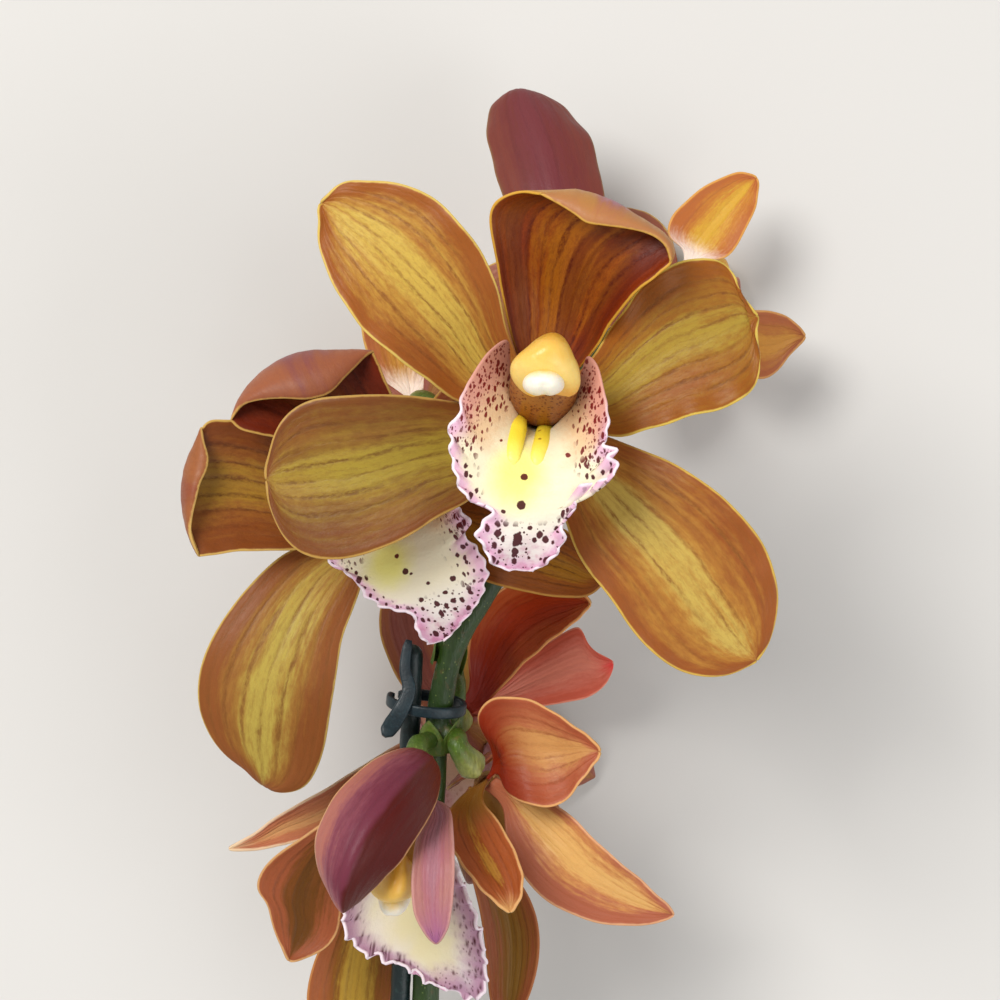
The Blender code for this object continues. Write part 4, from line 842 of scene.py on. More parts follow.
def cap_mat(name):
    g = Net(name, 0.35, 0.45, 0.2, (1.6, 0.9, 0.4))
    h = g.attr("along")
    fine = g.noise(g.scale(g.pos, 1000.0), 0.8, 3, 0.6)
    q = g.f("ADD", h, g.f("MULTIPLY", g.f("SUBTRACT", fine, 0.5), 0.14))
    col = g.mix(g.step(q, 0.0, 0.35), lin("#D49A34"), lin("#E6B954"))
    # painted highlight: a paler cream-yellow band from the middle of the cap down
    col = g.mix(g.step(q, 0.40, 0.62), col, lin("#EDCB70"))
    col = g.mix(g.step(q, 0.70, 1.0), col, lin("#E2A848"))
    g.colour(col)
    g.bump(fine, 0.0003, 0.4)
    return g.m


def pollen_mat(name):
    g = Net(name, 0.32, 0.45, 0.12, (1.4, 1.0, 0.6))
    h = g.attr("along")
    fine = g.noise(g.scale(g.pos, 1000.0), 0.9, 3, 0.6)
    col = g.mix(g.step(g.f("ADD", h, g.f("MULTIPLY", g.f("SUBTRACT", fine, 0.5), 0.5)), 0.25, 0.95), lin("#F1EBDA"), lin("#F0CD74"))
    g.colour(col)
    g.bump(fine, 0.0002, 0.4)
    return g.m


def simple_mat(name, c1, c2, scale, rough, spec=0.4, sss=0.0, c3=None, bump=0.00015):
    g = Net(name, rough, spec, sss, (1.2, 0.8, 0.4))
    p = g.scale(g.pos, 1000.0)
    slow = g.noise(p, scale, 3, 0.55)
    fine = g.noise(p, scale * 7, 3, 0.6)
    col = g.mix(g.step(slow, 0.3, 0.7), lin(c1), lin(c2))
    if c3:
        col = g.mix(g.step(fine, 0.52, 0.72, 0.0, 0.6), col, lin(c3))
    g.colour(col)
    g.set(g.b.inputs["Roughness"], g.step(fine, 0.25, 0.75, rough - 0.06, rough + 0.08))
    g.bump(fine, bump, 0.6)
    return g.m


def stem_mat(name):
    """Green, painted near black over the main stem and darker at the stalk bases for the shade they lie in, yellower
    towards the flowers, with fine lengthwise lines and pale specks.
    """
    g = Net(name, 0.38, 0.4, 0.1, (0.8, 1.0, 0.3))
    young, line = g.attr("young"), g.attr("line")
    p = g.scale(g.pos, 1000.0)
    slow = g.noise(g.scale(p, (1.0, 0.25, 1.0)), 0.22, 3, 0.6)
    fine = g.noise(g.scale(p, (1.0, 0.2, 1.0)), 2.2, 4, 0.6)
    # painted shade: the near-black greens here and the dark green at the stalk bases below stand for shade on the stem
    col = g.mix(g.step(slow, 0.3, 0.7), lin("#1F3510"), lin("#34501A"))
    col = g.mix(g.step(young, 0.10, 0.60, 0.0, 0.9), col, lin("#4C661C"))
    col = g.mix(g.step(young, 0.74, 1.0, 0.0, 0.95), col, lin("#A2A45E"))
    col = g.mix(g.step(g.noise(p, 0.6, 3, 0.6), 0.55, 0.75, 0.0, 0.35), col, lin("#7C4A2A"))
    col = g.mix(g.step(fine, 0.35, 0.7, 0.35, 0.0), col, lin("#1E300C"))
    n = g.voronoi(p, 1.1, 1.0)
    col = g.mix(g.f("MULTIPLY", g.f("LESS_THAN", n.outputs["Distance"], 0.16), 0.25), col, lin("#9FB060"))
    g.colour(col)
    g.bump(fine, 0.0003, 0.6)
    return g.m


# ============================================================ the stem and its stalks
def stem_line():
    low = at(436, 740, 42.0)
    end = low + np.array((-9.0, -218.0, -39.1))
    pts = [end, end * 0.66 + low * 0.34, end * 0.33 + low * 0.67, low, at(441, 700, 44.0), at(449, 662, 45.5), at(462, 630, 46.5),
           at(480, 602, 47.2), at(500, 566, 47.8), at(519, 520, 48), at(536, 470, 48), at(551, 415, 47.5), at(562, 362, 46),
           at(569, 318, 43), at(570, 292, 39.8)]
    return smooth(pts, 420)[0], low, end


def stalk(f, start, lift=(0, 0, 0)):
    back = f.c - f.n * 1.9
    mid = back - f.n * 7.5 * f.size
    pts = [start, start * 0.55 + mid * 0.45 + np.asarray(lift, float), mid, back]
    return smooth(pts, 200)[0]


STALKS = {
    "front": (FRONT, at(507, 553, 47.9), (0, 0, 3)),
    "left": (LEFT, at(451, 655, 45.7), (-2, 0, -1.5)),
    "lower_left": (LOW_LEFT, at(436, 738, 42.3), (-1, 0, 2)),
    "lower_right": (LOW_RIGHT, at(438, 736, 42.4), (2.0, 0.5, 0)),
    "under": (UNDER, at(450, 660, 45.5), (1, 0, -4.5)),
    "back_left": (BACK_LEFT, at(529, 493, 48), (0, 0, -3)),
    "back_right": (BACK_RIGHT, at(558, 382, 46.7), (0, 0, 0)),
}


def build_stem(mat):
    line, low, end = stem_line()
    k = np.linspace(0, 1, 260)
    rad = np.interp(k, (0, 0.62, 0.9, 1.0), (STEM_R[0], STEM_R[1], STEM_R[2] + 0.3, STEM_R[2]))
    rad = rad * (1 + 0.02 * np.sin(k * 60) + 0.015 * np.sin(k * 143 + 1))
    # swollen nodes on the bare stem
    for c, w, a in ((0.13, 0.012, 0.30), (0.30, 0.012, 0.28), (0.47, 0.011, 0.26), (0.60, 0.010, 0.22)):
        rad = rad + a * np.exp(-((k - c) / w) ** 2)
    verts, faces = [], []
    rings = tube_rings(line, k, rad, 20)
    v, f = loft(rings)
    verts.append(v), faces.append(f)
    lines = [(line, False)]
    top = TOP.c - TOP.n * 1.9

    def flare(l, r0, k0):
        q = np.concatenate((np.linspace(0, 0.9, 34), np.linspace(0.92, 1.0, 8)))
        r = np.interp(q, (0, 0.18, 0.34, 0.48, 0.62, 0.76, 0.88, 0.96, 1.0), (r0, r0, r0, r0 + 0.1, 1.9, 2.2, 2.6, KNOB * 0.92 * k0, KNOB * k0))
        ang = np.arange(18) * 2 * math.pi / 18
        rg = tube_rings(l, q, r, 18)
        mid = rg.mean(1, keepdims=True)
        grooves = 1 + 0.05 * np.cos(ang * 3)[None, :, None] * sstep(0.45, 0.7, q)[:, None, None]
        return mid + (rg - mid) * grooves

    for key, (fl, start, lift) in STALKS.items():
        l = stalk(fl, start, lift)
        verts_, faces_ = loft(flare(l, 1.6, fl.size))
        verts.append(verts_), faces.append(faces_)
        lines.append((l, True))
    last = smooth([line[-14], line[-1], top - TOP.n * 5 * TOP.size, top], 200)[0]
    v, f = loft(flare(last, 1.5, 0.75))
    verts.append(v), faces.append(f)
    lines.append((last, True))
    base, allv, allf = 0, [], []
    for v, f in zip(verts, faces):
        allv.append(v)
        allf += [tuple(i + base for i in fc) for fc in f]
        base += len(v)
    ob = piece("stem_fine", np.concatenate(allv), allf, [mat])
    bpy.context.view_layer.objects.active = ob
    ob.select_set(True)
    m = ob.modifiers.new("join", "REMESH")
    m.mode, m.voxel_size, m.adaptivity = "VOXEL", 0.00055, 0.0
    s = ob.modifiers.new("ease", "SMOOTH")
    s.factor, s.iterations = 0.6, 6
    dg = bpy.context.evaluated_depsgraph_get()
    me = bpy.data.meshes.new_from_object(ob.evaluated_get(dg))
    ob.modifiers.clear()
    ob.data = me
    me.materials.clear()
    me.materials.append(mat)
    me.shade_smooth()
    co = np.empty(len(me.vertices) * 3, np.float32)
    me.vertices.foreach_get("co", co)
    co = co.reshape(-1, 3) * 1000 + ORIGIN
    young = np.zeros(len(co))
    best = np.full(len(co), 1e9)
    for l, is_stalk in lines:
        for i in range(0, len(l), 3):
            pass
        L = l[::3]
        frac = np.linspace(0, 1, len(L))
        for j0 in range(0, len(co), 20000):
            c = co[j0:j0 + 20000]
            d = np.linalg.norm(c[:, None] - L[None], axis=2)
            k_ = d.argmin(1)
            dm = d[np.arange(len(c)), k_]
            upd = dm < best[j0:j0 + 20000]
            best[j0:j0 + 20000][upd] = dm[upd]
            val = 0.15 + 0.85 * frac[k_] if is_stalk else 0.12 * sstep(0.55, 1, frac[k_])
            young[j0:j0 + 20000][upd] = np.broadcast_to(val, (len(c),))[upd]
    a1 = me.attributes.new("young", "FLOAT", "POINT")
    a1.data.foreach_set("value", young.astype(np.float32))
    return ob, line, low, end


# ============================================================ lips
LOW_LIP = [
    (399, 807, 57.8, 410, 810, 56.3, 422, 807, 57.8),
    (388, 825, 59.5, 411, 827, 54.6, 430, 823, 58.5),
    (371, 845, 60.0, 413, 846, 53.8, 442, 842, 57.0),
    (361, 866, 60.5, 415, 866, 53.5, 455, 862, 56.5),
    (352, 888, 60.5, 416, 886, 53.5, 464, 884, 56.5),
    (344, 908, 60.2, 417, 904, 53.5, 472, 905, 57.0),
    (343, 926, 59.6, 419, 921, 53.3, 479, 925, 57.0),
    (352, 944, 58.2, 421, 936, 53.0, 484, 945, 56.5),
    (368, 954, 56.4, 424, 949, 52.7, 486, 965, 56.0),
    (388, 961, 55.0, 429, 961, 52.2, 487, 982, 55.0),
    (408, 969, 54.0, 435, 972, 51.6, 482, 995, 54.0),
    (428, 981, 52.8, 442, 982, 51.0, 474, 1001, 52.5),
    (446, 991, 51.4, 450, 989, 50.4, 462, 998, 51.2)]

FRONT_LIP = [  # left margin x, y, z / middle x, y, z / right margin x, y, z on the plan
    (523, 418, 82.0, 538, 428, 81.5, 555, 417, 82.0),
    (508, 372, 87.0, 537, 432, 85.0, 582, 378, 87.0),
    (507, 341, 92.5, 536, 436, 88.0, 588, 357, 92.5),
    (490, 351, 96.0, 535, 441, 90.5, 597, 366, 96.0),
    (474, 373, 98.0, 533, 449, 92.5, 603, 388, 98.0),
    (461, 398, 98.5, 532, 458, 93.8, 608, 412, 98.5),
    (459, 416, 98.3, 530, 467, 94.6, 608, 431, 98.2),
    (449, 423, 98.5, 529, 475, 95.2, 604, 444, 98.2),
    (451, 437, 98.3, 528, 482, 95.7, 616, 449, 98.8),
    (450, 449, 98.8, 527, 489, 96.0, 609, 456, 98.2),
    (454, 468, 98.6, 526, 496, 96.0, 619, 465, 98.8),
    (459, 486, 98.2, 525, 503, 96.0, 609, 477, 98.2),
    (470, 500, 97.6, 525, 510, 95.9, 591, 483, 97.6),
    (484, 504, 97.0, 524, 517, 95.7, 577, 487, 97.2),
    (492, 510, 96.4, 523, 524, 95.3, 577, 499, 96.8),
    (484, 521, 96.0, 522, 531, 94.8, 572, 510, 96.2),
    (476, 533, 95.4, 521, 539, 94.1, 562, 521, 95.6),
    (480, 542, 94.8, 520, 546, 93.2, 565, 537, 95.0),
    (486, 551, 94.0, 519, 553, 92.2, 559, 550, 94.0),
    (490, 562, 92.8, 519, 561, 91.0, 547, 563, 92.4),
    (510, 571, 90.8, 519, 570, 89.8, 531, 571, 90.6)]

LEFT_LIP = [
    (395, 512, 56.0, 405, 515, 55.5, 418, 510, 56.0),
    (380, 470, 60.0, 402, 520, 58.5, 440, 468, 60.0),
    (362, 462, 64.0, 399, 525, 61.0, 449, 462, 64.0),
    (348, 475, 67.0, 396, 531, 63.5, 456, 475, 67.0),
    (338, 497, 68.5, 396, 538, 65.0, 460, 492, 68.5),
    (333, 520, 69.0, 398, 546, 66.0, 456, 506, 69.0),
    (329, 540, 69.0, 401, 554, 66.7, 466, 515, 69.0),
    (326, 552, 69.0, 403, 561, 67.2, 470, 522, 69.0),
    (330, 562, 68.6, 406, 568, 67.5, 464, 531, 68.4),
    (345, 571, 68.2, 409, 575, 67.5, 467, 538, 68.0),
    (356, 582, 68.0, 412, 582, 67.4, 476, 548, 68.0),
    (366, 596, 67.8, 414, 589, 67.2, 483, 558, 67.8),
    (381, 606, 67.4, 417, 596, 66.8, 487, 568, 67.4),
    (398, 611, 66.8, 420, 603, 66.2, 486, 580, 66.8),
    (412, 613, 66.2, 423, 611, 65.4, 482, 594, 66.0),
    (414, 621, 65.6, 426, 619, 64.4, 476, 605, 65.0),
    (418, 631, 64.6, 429, 627, 63.2, 466, 618, 63.8),
    (423, 639, 63.2, 431, 635, 61.8, 456, 629, 62.4),
    (428, 644, 61.6, 434, 643, 60.4, 446, 640, 60.8)]


def lip_mesh(f, table, src, rows, cols, seed, slim=1.0, frill=1.0):
    """The lip's grid in world mm, from a table given on the plan for the flower src."""
    q = np.array(table, float)
    P = [np.array([at(r[3 * k], r[3 * k + 1], r[3 * k + 2]) for r in q]) for k in range(3)]
    loc = [src.local(p) for p in P]
    full = np.concatenate(loc, 1)
    line, where = smooth(full, 900, 0.5)
    mark = np.interp(np.arange(len(line)), where, np.linspace(0, 1, len(where)))
    u = np.linspace(0, 1, rows)
    cum = np.concatenate(([0.0], np.cumsum(np.linalg.norm(np.diff(line, axis=0), axis=1))))
    row_at = np.interp(u, cum / cum[-1], mark)
    full = along(line, u)
    Lm, Fm, Rm = full[:, :3], full[:, 3:6], full[:, 6:]
    t = np.linspace(-1, 1, cols)
    t = np.sign(t) * (1 - (1 - abs(t)) ** 1.15)
    a = abs(t)
    h = 0.55 * a + 0.45 * np.sin(a * math.pi / 2)
    E = np.where((t < 0)[None, :, None], Lm[:, None], Rm[:, None])
    D = E - Fm[:, None]
    G = Fm[:, None] + D * np.stack([h, a**2.2, a**2.0], -1)[None]
    # the frill
    rng = np.random.default_rng(seed)
    U = np.tile(row_at[:, None], (1, cols))
    A = np.tile(a[None], (rows, 1))
    arc = np.concatenate(([0], np.cumsum(np.linalg.norm(np.diff(Lm, axis=0), axis=1))))
    arcr = np.concatenate(([0], np.cumsum(np.linalg.norm(np.diff(Rm, axis=0), axis=1))))
    S = np.where(t[None] < 0, arc[:, None], arcr[:, None])
    side = np.where(t[None] < 0, 0.0, 3.3)
    amp = sstep(0.62, 1.0, A) * sstep(0.20, 0.32, U) * frill
    w = np.zeros_like(S)
    for lam, am in ((4.6, 0.55), (2.9, 0.38), (1.7, 0.16)):
        w += am * np.sin(2 * math.pi * S / lam + rng.uniform(0, 6.28) + side + 0.8 * np.sin(S / 3.1 + seed))
    tipw = sstep(0.9, 1.0, U) * sstep(0.0, 0.5, 1 - A)
    G[..., 2] += w * amp
    G[..., 0] += np.sign(t)[None] * 0.30 * np.cos(2 * math.pi * S / 2.9 + side + seed) * amp * sstep(0.8, 1.0, A)
    # slow swells over the middle lobe
    G[..., 2] += 0.25 * frill * np.sin(G[..., 0] * 0.9 + seed) * np.sin(G[..., 1] * 0.7 + seed) * sstep(0.5, 0.8, U)
    return f.world(G, slim), G, U, A


def lip_piece(f, table, src, rows, cols, seed, mats, slim=1.0, frill=1.0, thick=0.75):
    W, G, U, A = lip_mesh(f, table, src, rows, cols, seed, slim, frill)
    verts, faces, slots, st = blade(W, f.n, thick, 0.5, 0.14)
    edge = margin(W)
    b = W.shape[1]
    ring = [(i, 0) for i in range(rows)] + [(rows - 1, j) for j in range(1, b)] + [(i, b - 1) for i in range(rows - 2, -1, -1)] + [(0, j) for j in range(b - 2, 0, -1)]
    ri = [i * b + j for i, j in ring]

    def ext(v):
        v = v.ravel()
        return np.concatenate((v, v, v[ri]))
    uvx, uvy = ext(G[..., 0] / 40 + 0.5), ext(G[..., 1] / 40 + 0.5)
    ob = piece(f.name + "_lip_fine", verts, faces, mats, slots, np.stack([uvx, uvy], 1),
               {"along": ext(U), "side": ext(A), "edge": ext(edge)})
    return ob, W, G


def ridge(f, W, path, width, height, name, mat, sides=22):
    """A rounded ridge that follows the lip's floor along a plan path, fullest at its free upper end."""
    flat = W.reshape(-1, 3)
    px = np.array([plan(p) for p in flat])
    line = along(smooth(path, 120)[0], np.linspace(0, 1, 34))
    pts = []
    for q in line:
        d = np.linalg.norm(px - q, axis=1)
        k = np.argsort(d)[:8]
        w = 1 / (d[k] + 0.5)
        pts.append(at(q[0], q[1], float((flat[k, 2] * w).sum() / w.sum()) + 0.35))
    pts = np.array(pts)
    pts[:, 2] = np.convolve(np.pad(pts[:, 2], 5, "edge"), np.ones(11) / 11, "valid")
    s = np.linspace(0, 1, len(pts))
    w = width * np.interp(s, (0, 0.04, 0.12, 0.3, 0.6, 0.85, 1.0), (0.15, 0.62, 0.92, 1.0, 0.92, 0.7, 0.15))
    h = height * np.interp(s, (0, 0.04, 0.12, 0.3, 0.6, 0.85, 1.0), (0.2, 0.75, 1.0, 1.0, 0.72, 0.4, 0.08))
    rings = []
    run = np.gradient(pts, axis=0)
    for i in range(len(pts)):
        d = unit(run[i])
        x = unit(np.cross(d, f.n))
        y = np.cross(x, d)
        ang = np.arange(sides) * 2 * math.pi / sides
        rings.append(pts[i] + x[None] * (np.cos(ang) * w[i])[:, None] + y[None] * (np.sin(ang) * h[i] * np.where(np.sin(ang) > 0, 1.0, 0.6))[:, None])
    v, fc = loft(np.array(rings))
    n = len(rings)
    up = np.concatenate((np.repeat(s, sides), [0, 1]))
    return piece(name, v, fc, [mat], None, None, {"along": up})


# ============================================================ columns
def column_piece(f, name, mat, wide=1.0, sides=36, rings=44):
    spine = [(-0.7, 2.3, 2.9, 2.1), (-0.1, 6.2, 4.2, 2.8), (1.9, 11.0, 5.1, 3.3), (4.2, 15.2, 5.2, 3.5),
             (5.9, 18.2, 5.0, 3.7), (6.6, 20.2, 4.2, 3.2), (7.0, 21.6, 2.2, 1.8)]
    p = np.array(spine)
    k = np.linspace(0, 1, len(p))
    line, _ = smooth(np.column_stack([k, p]), 400, 1.0)
    u = np.linspace(0, 1, rings)
    q = np.stack([np.interp(u, line[:, 0], line[:, i]) for i in range(1, 5)], 1)
    run = np.gradient(q[:, :2], axis=0)
    run /= np.linalg.norm(run, axis=1)[:, None]
    out = np.empty((rings, sides, 3))
    under = np.empty((rings, sides))
    for j in range(sides):
        a = 2 * math.pi * j / sides
        sa, ca = math.sin(a), math.cos(a)
        x = q[:, 2] * math.copysign(abs(ca) ** 0.9, ca) * wide
        # the belly is hollowed between two thin wings
        h = q[:, 3] * (sa if sa > 0 else sa * 0.8 * (1 - 0.55 * sstep(0.25, 0.6, u) * (1 - abs(ca)) ** 0.6))
        out[:, j] = np.stack([x, q[:, 0] + h * run[:, 1], q[:, 1] - h * run[:, 0]], 1)
        under[:, j] = 1.0 if sa < -0.1 else (0.5 if sa < 0.15 else 0.0)
    v, fc = loft(f.world(out))
    U = np.tile(u[:, None], (1, sides))
    ext = lambda w, e: np.concatenate((w.ravel(), e))
    return piece(name, v, fc, [mat], None, None, {"under": ext(under, [0.5, 0.5]), "along": ext(U, [0, 1])})


CAP = [  # y, centre x, half width on the plan of the front flower; z of the middle, half depth
    (332.6, 553, 2.5, 99.4, 1.2), (335, 552, 9, 99.5, 2.6), (340, 550.5, 15.5, 99.7, 3.6), (347, 548.5, 21.5, 99.9, 4.1), (355, 545.5, 28, 99.9, 4.2),
    (363, 544, 32.5, 99.6, 4.2), (370, 544.5, 34.5, 99.2, 4.0), (377, 546, 34.5, 98.8, 3.6), (383, 548, 32, 98.4, 3.1), (388, 550, 27, 98.1, 2.4), (391, 551, 18, 98.0, 1.4)]


def cap_piece(f, name, mat, wide=1.0, sides=36, rings=34):
    p = np.array(CAP)
    line, _ = smooth(p, 300)
    q = along(line, np.linspace(0, 1, rings))
    ang = np.arange(sides) * 2 * math.pi / sides
    out = np.empty((rings, sides, 3))
    for i in range(rings):
        y, cx, w, zc, dp = q[i]
        notch = 1 - 0.18 * sstep(0.45, 1, i / rings) * np.exp(-((ang - math.pi / 2) / 0.35) ** 2)
        xs = cx + np.cos(ang) * w
        zs = zc + np.sin(ang) * dp * notch
        sag = 6.0 * sstep(0.6, 1, i / rings) * np.cos(ang) ** 2     # the side corners hang lower
        out[i] = np.array([at(a_, y + b_, c_) for a_, b_, c_ in zip(xs, sag, zs)])
    loc = FRONT.local(out)
    v, fc = loft(f.world(loc, wide))
    U = np.tile(np.linspace(0, 1, rings)[:, None], (1, sides))
    return piece(name, v, fc, [mat], None, None, {"along": np.concatenate((U.ravel(), [0, 1]))})


def pollen_piece(f, name, mat, wide=1.0):
    """The cream front of the anther, two soft lobes under the cap."""
    nu, nv = 26, 40
    out, ups = np.empty((nu, nv, 3)), np.empty((nu, nv))
    for i in range(nu):
        a = math.pi * (0.02 + 0.96 * i / (nu - 1))
        for j in range(nv):
            b = 2 * math.pi * j / nv
            x, y, z = math.cos(a), math.sin(a) * math.cos(b), math.sin(a) * math.sin(b)
            lobe = 1 - 0.14 * math.exp(-(x / 0.22) ** 2) * (1 if y < 0 else 0.3)
            out[i, j] = at(543.5 + x * 21.0, 382.0 - y * 14.5 * lobe + 2.0 * x * x, 100.9 + z * 4.0 * lobe)
            ups[i, j] = y
    v, fc = loft(f.world(FRONT.local(out), wide))
    return piece(name, v, fc, [mat], None, None, {"along": np.concatenate((ups.ravel(), [0, 0]))})


# ============================================================ make everything
def done(ob, nodes):
    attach(ob, "root")
    if nodes:
        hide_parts(*nodes)
    return ob


GOLD, OLIVE, COPPER, ROSE, RIM, VEIN = "#C4A036", "#B08A30", "#A8693A", "#A8624A", "#E0BE62", "#6E3A10"

STYLES = {
    "front_left_petal": dict(centre="#C2A246", mid="#B08034", edge="#94531F", rim="#D9BE62", vein="#74421A", base="#9A6224", veins=10, spread_in=(0.05, 0.8)),
    "front_right_petal": dict(centre="#A08430", mid="#94641E", edge="#8E5014", rim="#D6BC56", vein="#6A3A14", base="#8A501E", veins=10, spread_in=(0.05, 0.85)),
    "front_dorsal_sepal": dict(centre="#94500F", mid="#822F06", edge="#7A2A04", rim="#D2A038", vein="#4E1204", base="#5E1A04", base_len=0.12, veins=10,
                               vein_amount=0.8, stripes=("#5E1C06", 0.75), blush=("#A0640E", 0.30), mottle=0.7, spread_in=(0.2, 0.75)),
    "front_left_sepal": dict(centre="#98812C", mid="#7E5C20", edge="#703E16", rim="#B8924A", vein="#5E3612", base="#7A4A1C", veins=9, blush=("#8E5028", 0.3), spread_in=(0.10, 0.95)),
    "front_right_sepal": dict(centre="#BA9E4C", mid="#A8742E", edge="#8C4C1E", rim="#D0AE50", vein="#74441A", base="#A87430", veins=9, spread_in=(0.05, 0.85)),
    "left_left_sepal": dict(centre="#AE9844", mid="#94682A", edge="#80481E", rim="#CDAE5C", vein="#70431A", base="#7A4A1A", veins=7, blush=("#9A5C34", 0.3), spread_in=(0.05, 0.8)),
    "left_left_petal": dict(centre="#987026", mid="#8A5420", edge="#7A4018", rim="#CCA858", vein="#54280C", base="#6E3A14", veins=8),
    "left_dorsal_sepal": dict(centre="#84441A", mid="#7A2E12", edge="#6E240C", rim="#D2A858", vein="#4E1608", base="#521604", veins=8),
    "left_right_sepal": dict(centre="#8E5E14", mid="#824610", edge="#783E10", rim="#A87A34", vein="#4E280A", base="#5E3410", veins=8),
    "left_right_petal": dict(centre="#A8802C", mid="#98602A", edge="#8E4A28", rim="#C89A48", vein="#552C0E", veins=8),
    "lower_left_dorsal_sepal": dict(centre="#7E3A3C", mid="#8C4638", edge="#A05A3E", rim="#D8A05C", vein="#4E1C1C", base="#5E1C0C", veins=7, vein_amount=0.25),
    "lower_left_right_petal": dict(centre="#A4707A", mid="#A4666E", edge="#A8706A", rim="#BE8C84", vein="#6E3038", veins=6, vein_amount=0.2, tip="#9A5C86", tip_len=0.45, mottle=0.3),
    "lower_left_left_petal": dict(centre="#5A3404", mid="#6A3A0C", edge="#8E4A2A", rim="#C89A64", vein="#3E1E04", veins=8, vein_amount=0.3, mottle=0.3),
    "lower_left_left_sepal": dict(centre="#A8842E", mid="#7E4C10", edge="#94522C", rim="#B87E48", vein="#522A08", veins=8, vein_amount=0.35, mottle=0.3),
    "lower_left_right_sepal": dict(centre="#7A5410", mid="#7E4E0E", edge="#8C4824", rim="#A8683A", vein="#4E2A0A", veins=8, vein_amount=0.3, mottle=0.3),
    # painted shade: the deep red base over nearly half this petal's length stands for the shade inside its cupped base
    "lower_right_right_petal": dict(centre="#C08A50", mid="#B06A44", edge="#A65638", rim="#D8A468", vein="#7A3818", base="#7E1E04", base_len=0.48, veins=8, vein_amount=0.45, mottle=0.35),
    "lower_right_right_sepal": dict(centre="#D2A25E", mid="#C2844C", edge="#A85E44", rim="#D8A478", vein="#96542A", base="#A05A3C", veins=8, vein_amount=0.22, shift=-0.25, mottle=0.3,
                                    spread_in=(0.2, 0.8)),
    "lower_right_dorsal_sepal": dict(centre="#A87428", mid="#8A4210", edge="#9A4E24", rim="#D2A066", vein="#54200A", base="#86561A", base_len=0.3, veins=6, vein_amount=0.4, tip="#CE9C60",
                                     tip_len=0.3, mottle=0.3, spread_in=(0.0, 0.5)),
    "lower_right_left_petal": dict(centre="#B08030", mid="#A06028", edge="#A05030", rim="#D0A050", vein="#5A2E0C"),
    "lower_right_left_sepal": dict(centre="#A87828", mid="#985820", edge="#985030", rim="#C89848", vein="#5A2E0C"),
    "under_dorsal_sepal": dict(centre="#A8340C", mid="#A0340E", edge="#B04E20", rim="#E0A060", vein="#6A1A08", base="#7E1C06", base_len=0.35, veins=8, vein_amount=0.25, mottle=0.3),
    "under_left_petal": dict(centre="#D8806A", mid="#D0705C", edge="#C45A44", rim="#E09078", vein="#A84A3C", base="#B4523E", veins=6, vein_amount=0.12, tip="#E03C3C", tip_len=0.26, mottle=0.15),
    "under_right_petal": dict(centre="#8E5044", mid="#8A4A40", edge="#9A5A3E", rim="#C89C54", vein="#5A2A20", veins=6, vein_amount=0.2, mottle=0.3),
    "under_left_sepal": dict(centre="#B08830", mid="#9A602A", edge="#9A5030", rim="#D0A050", vein="#5A2E0C"),
    "under_right_sepal": dict(centre="#D09A66", mid="#C47E54", edge="#B87050", rim="#E8CCA8", vein="#8A4A2A", veins=5, vein_amount=0.15, tip="#E0BE94", mottle=0.2),
    "back_left_right_petal": dict(centre="#C08A34", mid="#B07030", edge="#A86038", rim="#D8AC5C", vein="#6A3814", base="#F0DCCB", base_len=0.22, veins=7, vein_amount=0.25, mottle=0.3),
    "back_left_dorsal_sepal": dict(centre="#B89034", mid="#A8702E", edge="#9A5628", rim="#D0AA58", vein="#5E3410"),
    "back_left_left_petal": dict(centre="#B89034", mid="#A8702E", edge="#9A5628", rim="#D0AA58", vein="#5E3410"),
    "back_left_right_sepal": dict(centre="#BC9636", mid="#A8742E", edge="#9A5A28", rim="#D0AA58", vein="#5E3410"),
    "back_left_left_sepal": dict(centre="#BC9636", mid="#A8742E", edge="#9A5A28", rim="#D0AA58", vein="#5E3410"),
    "back_right_dorsal_sepal": dict(centre="#CC9E36", mid="#BE7C30", edge="#B06430", rim="#D8A050", vein="#9A5A20", base="#F0DCD0", base_len=0.30, veins=7, vein_amount=0.12, tip="#C0683C",
                                    shift=0.1, mottle=0.15),
    "back_right_left_petal": dict(centre="#A87430", mid="#9A602C", edge="#925230", rim="#BC8A50", vein="#6A3814", veins=7, vein_amount=0.2, mottle=0.2),
    "back_right_right_petal": dict(centre="#B89034", mid="#A8702E", edge="#9A5628", rim="#D0AA58", vein="#5E3410"),
    "back_right_right_sepal": dict(centre="#B89034", mid="#A8702E", edge="#9A5628", rim="#D0AA58", vein="#5E3410"),
    "back_right_left_sepal": dict(centre="#B89034", mid="#A8702E", edge="#9A5628", rim="#D0AA58", vein="#5E3410"),
    "top_dorsal_sepal": dict(centre="#8C4A42", mid="#84443E", edge="#7E4038", rim="#9C6A44", vein="#5A2A28", veins=6, vein_amount=0.2, base="#6E302C"),
}
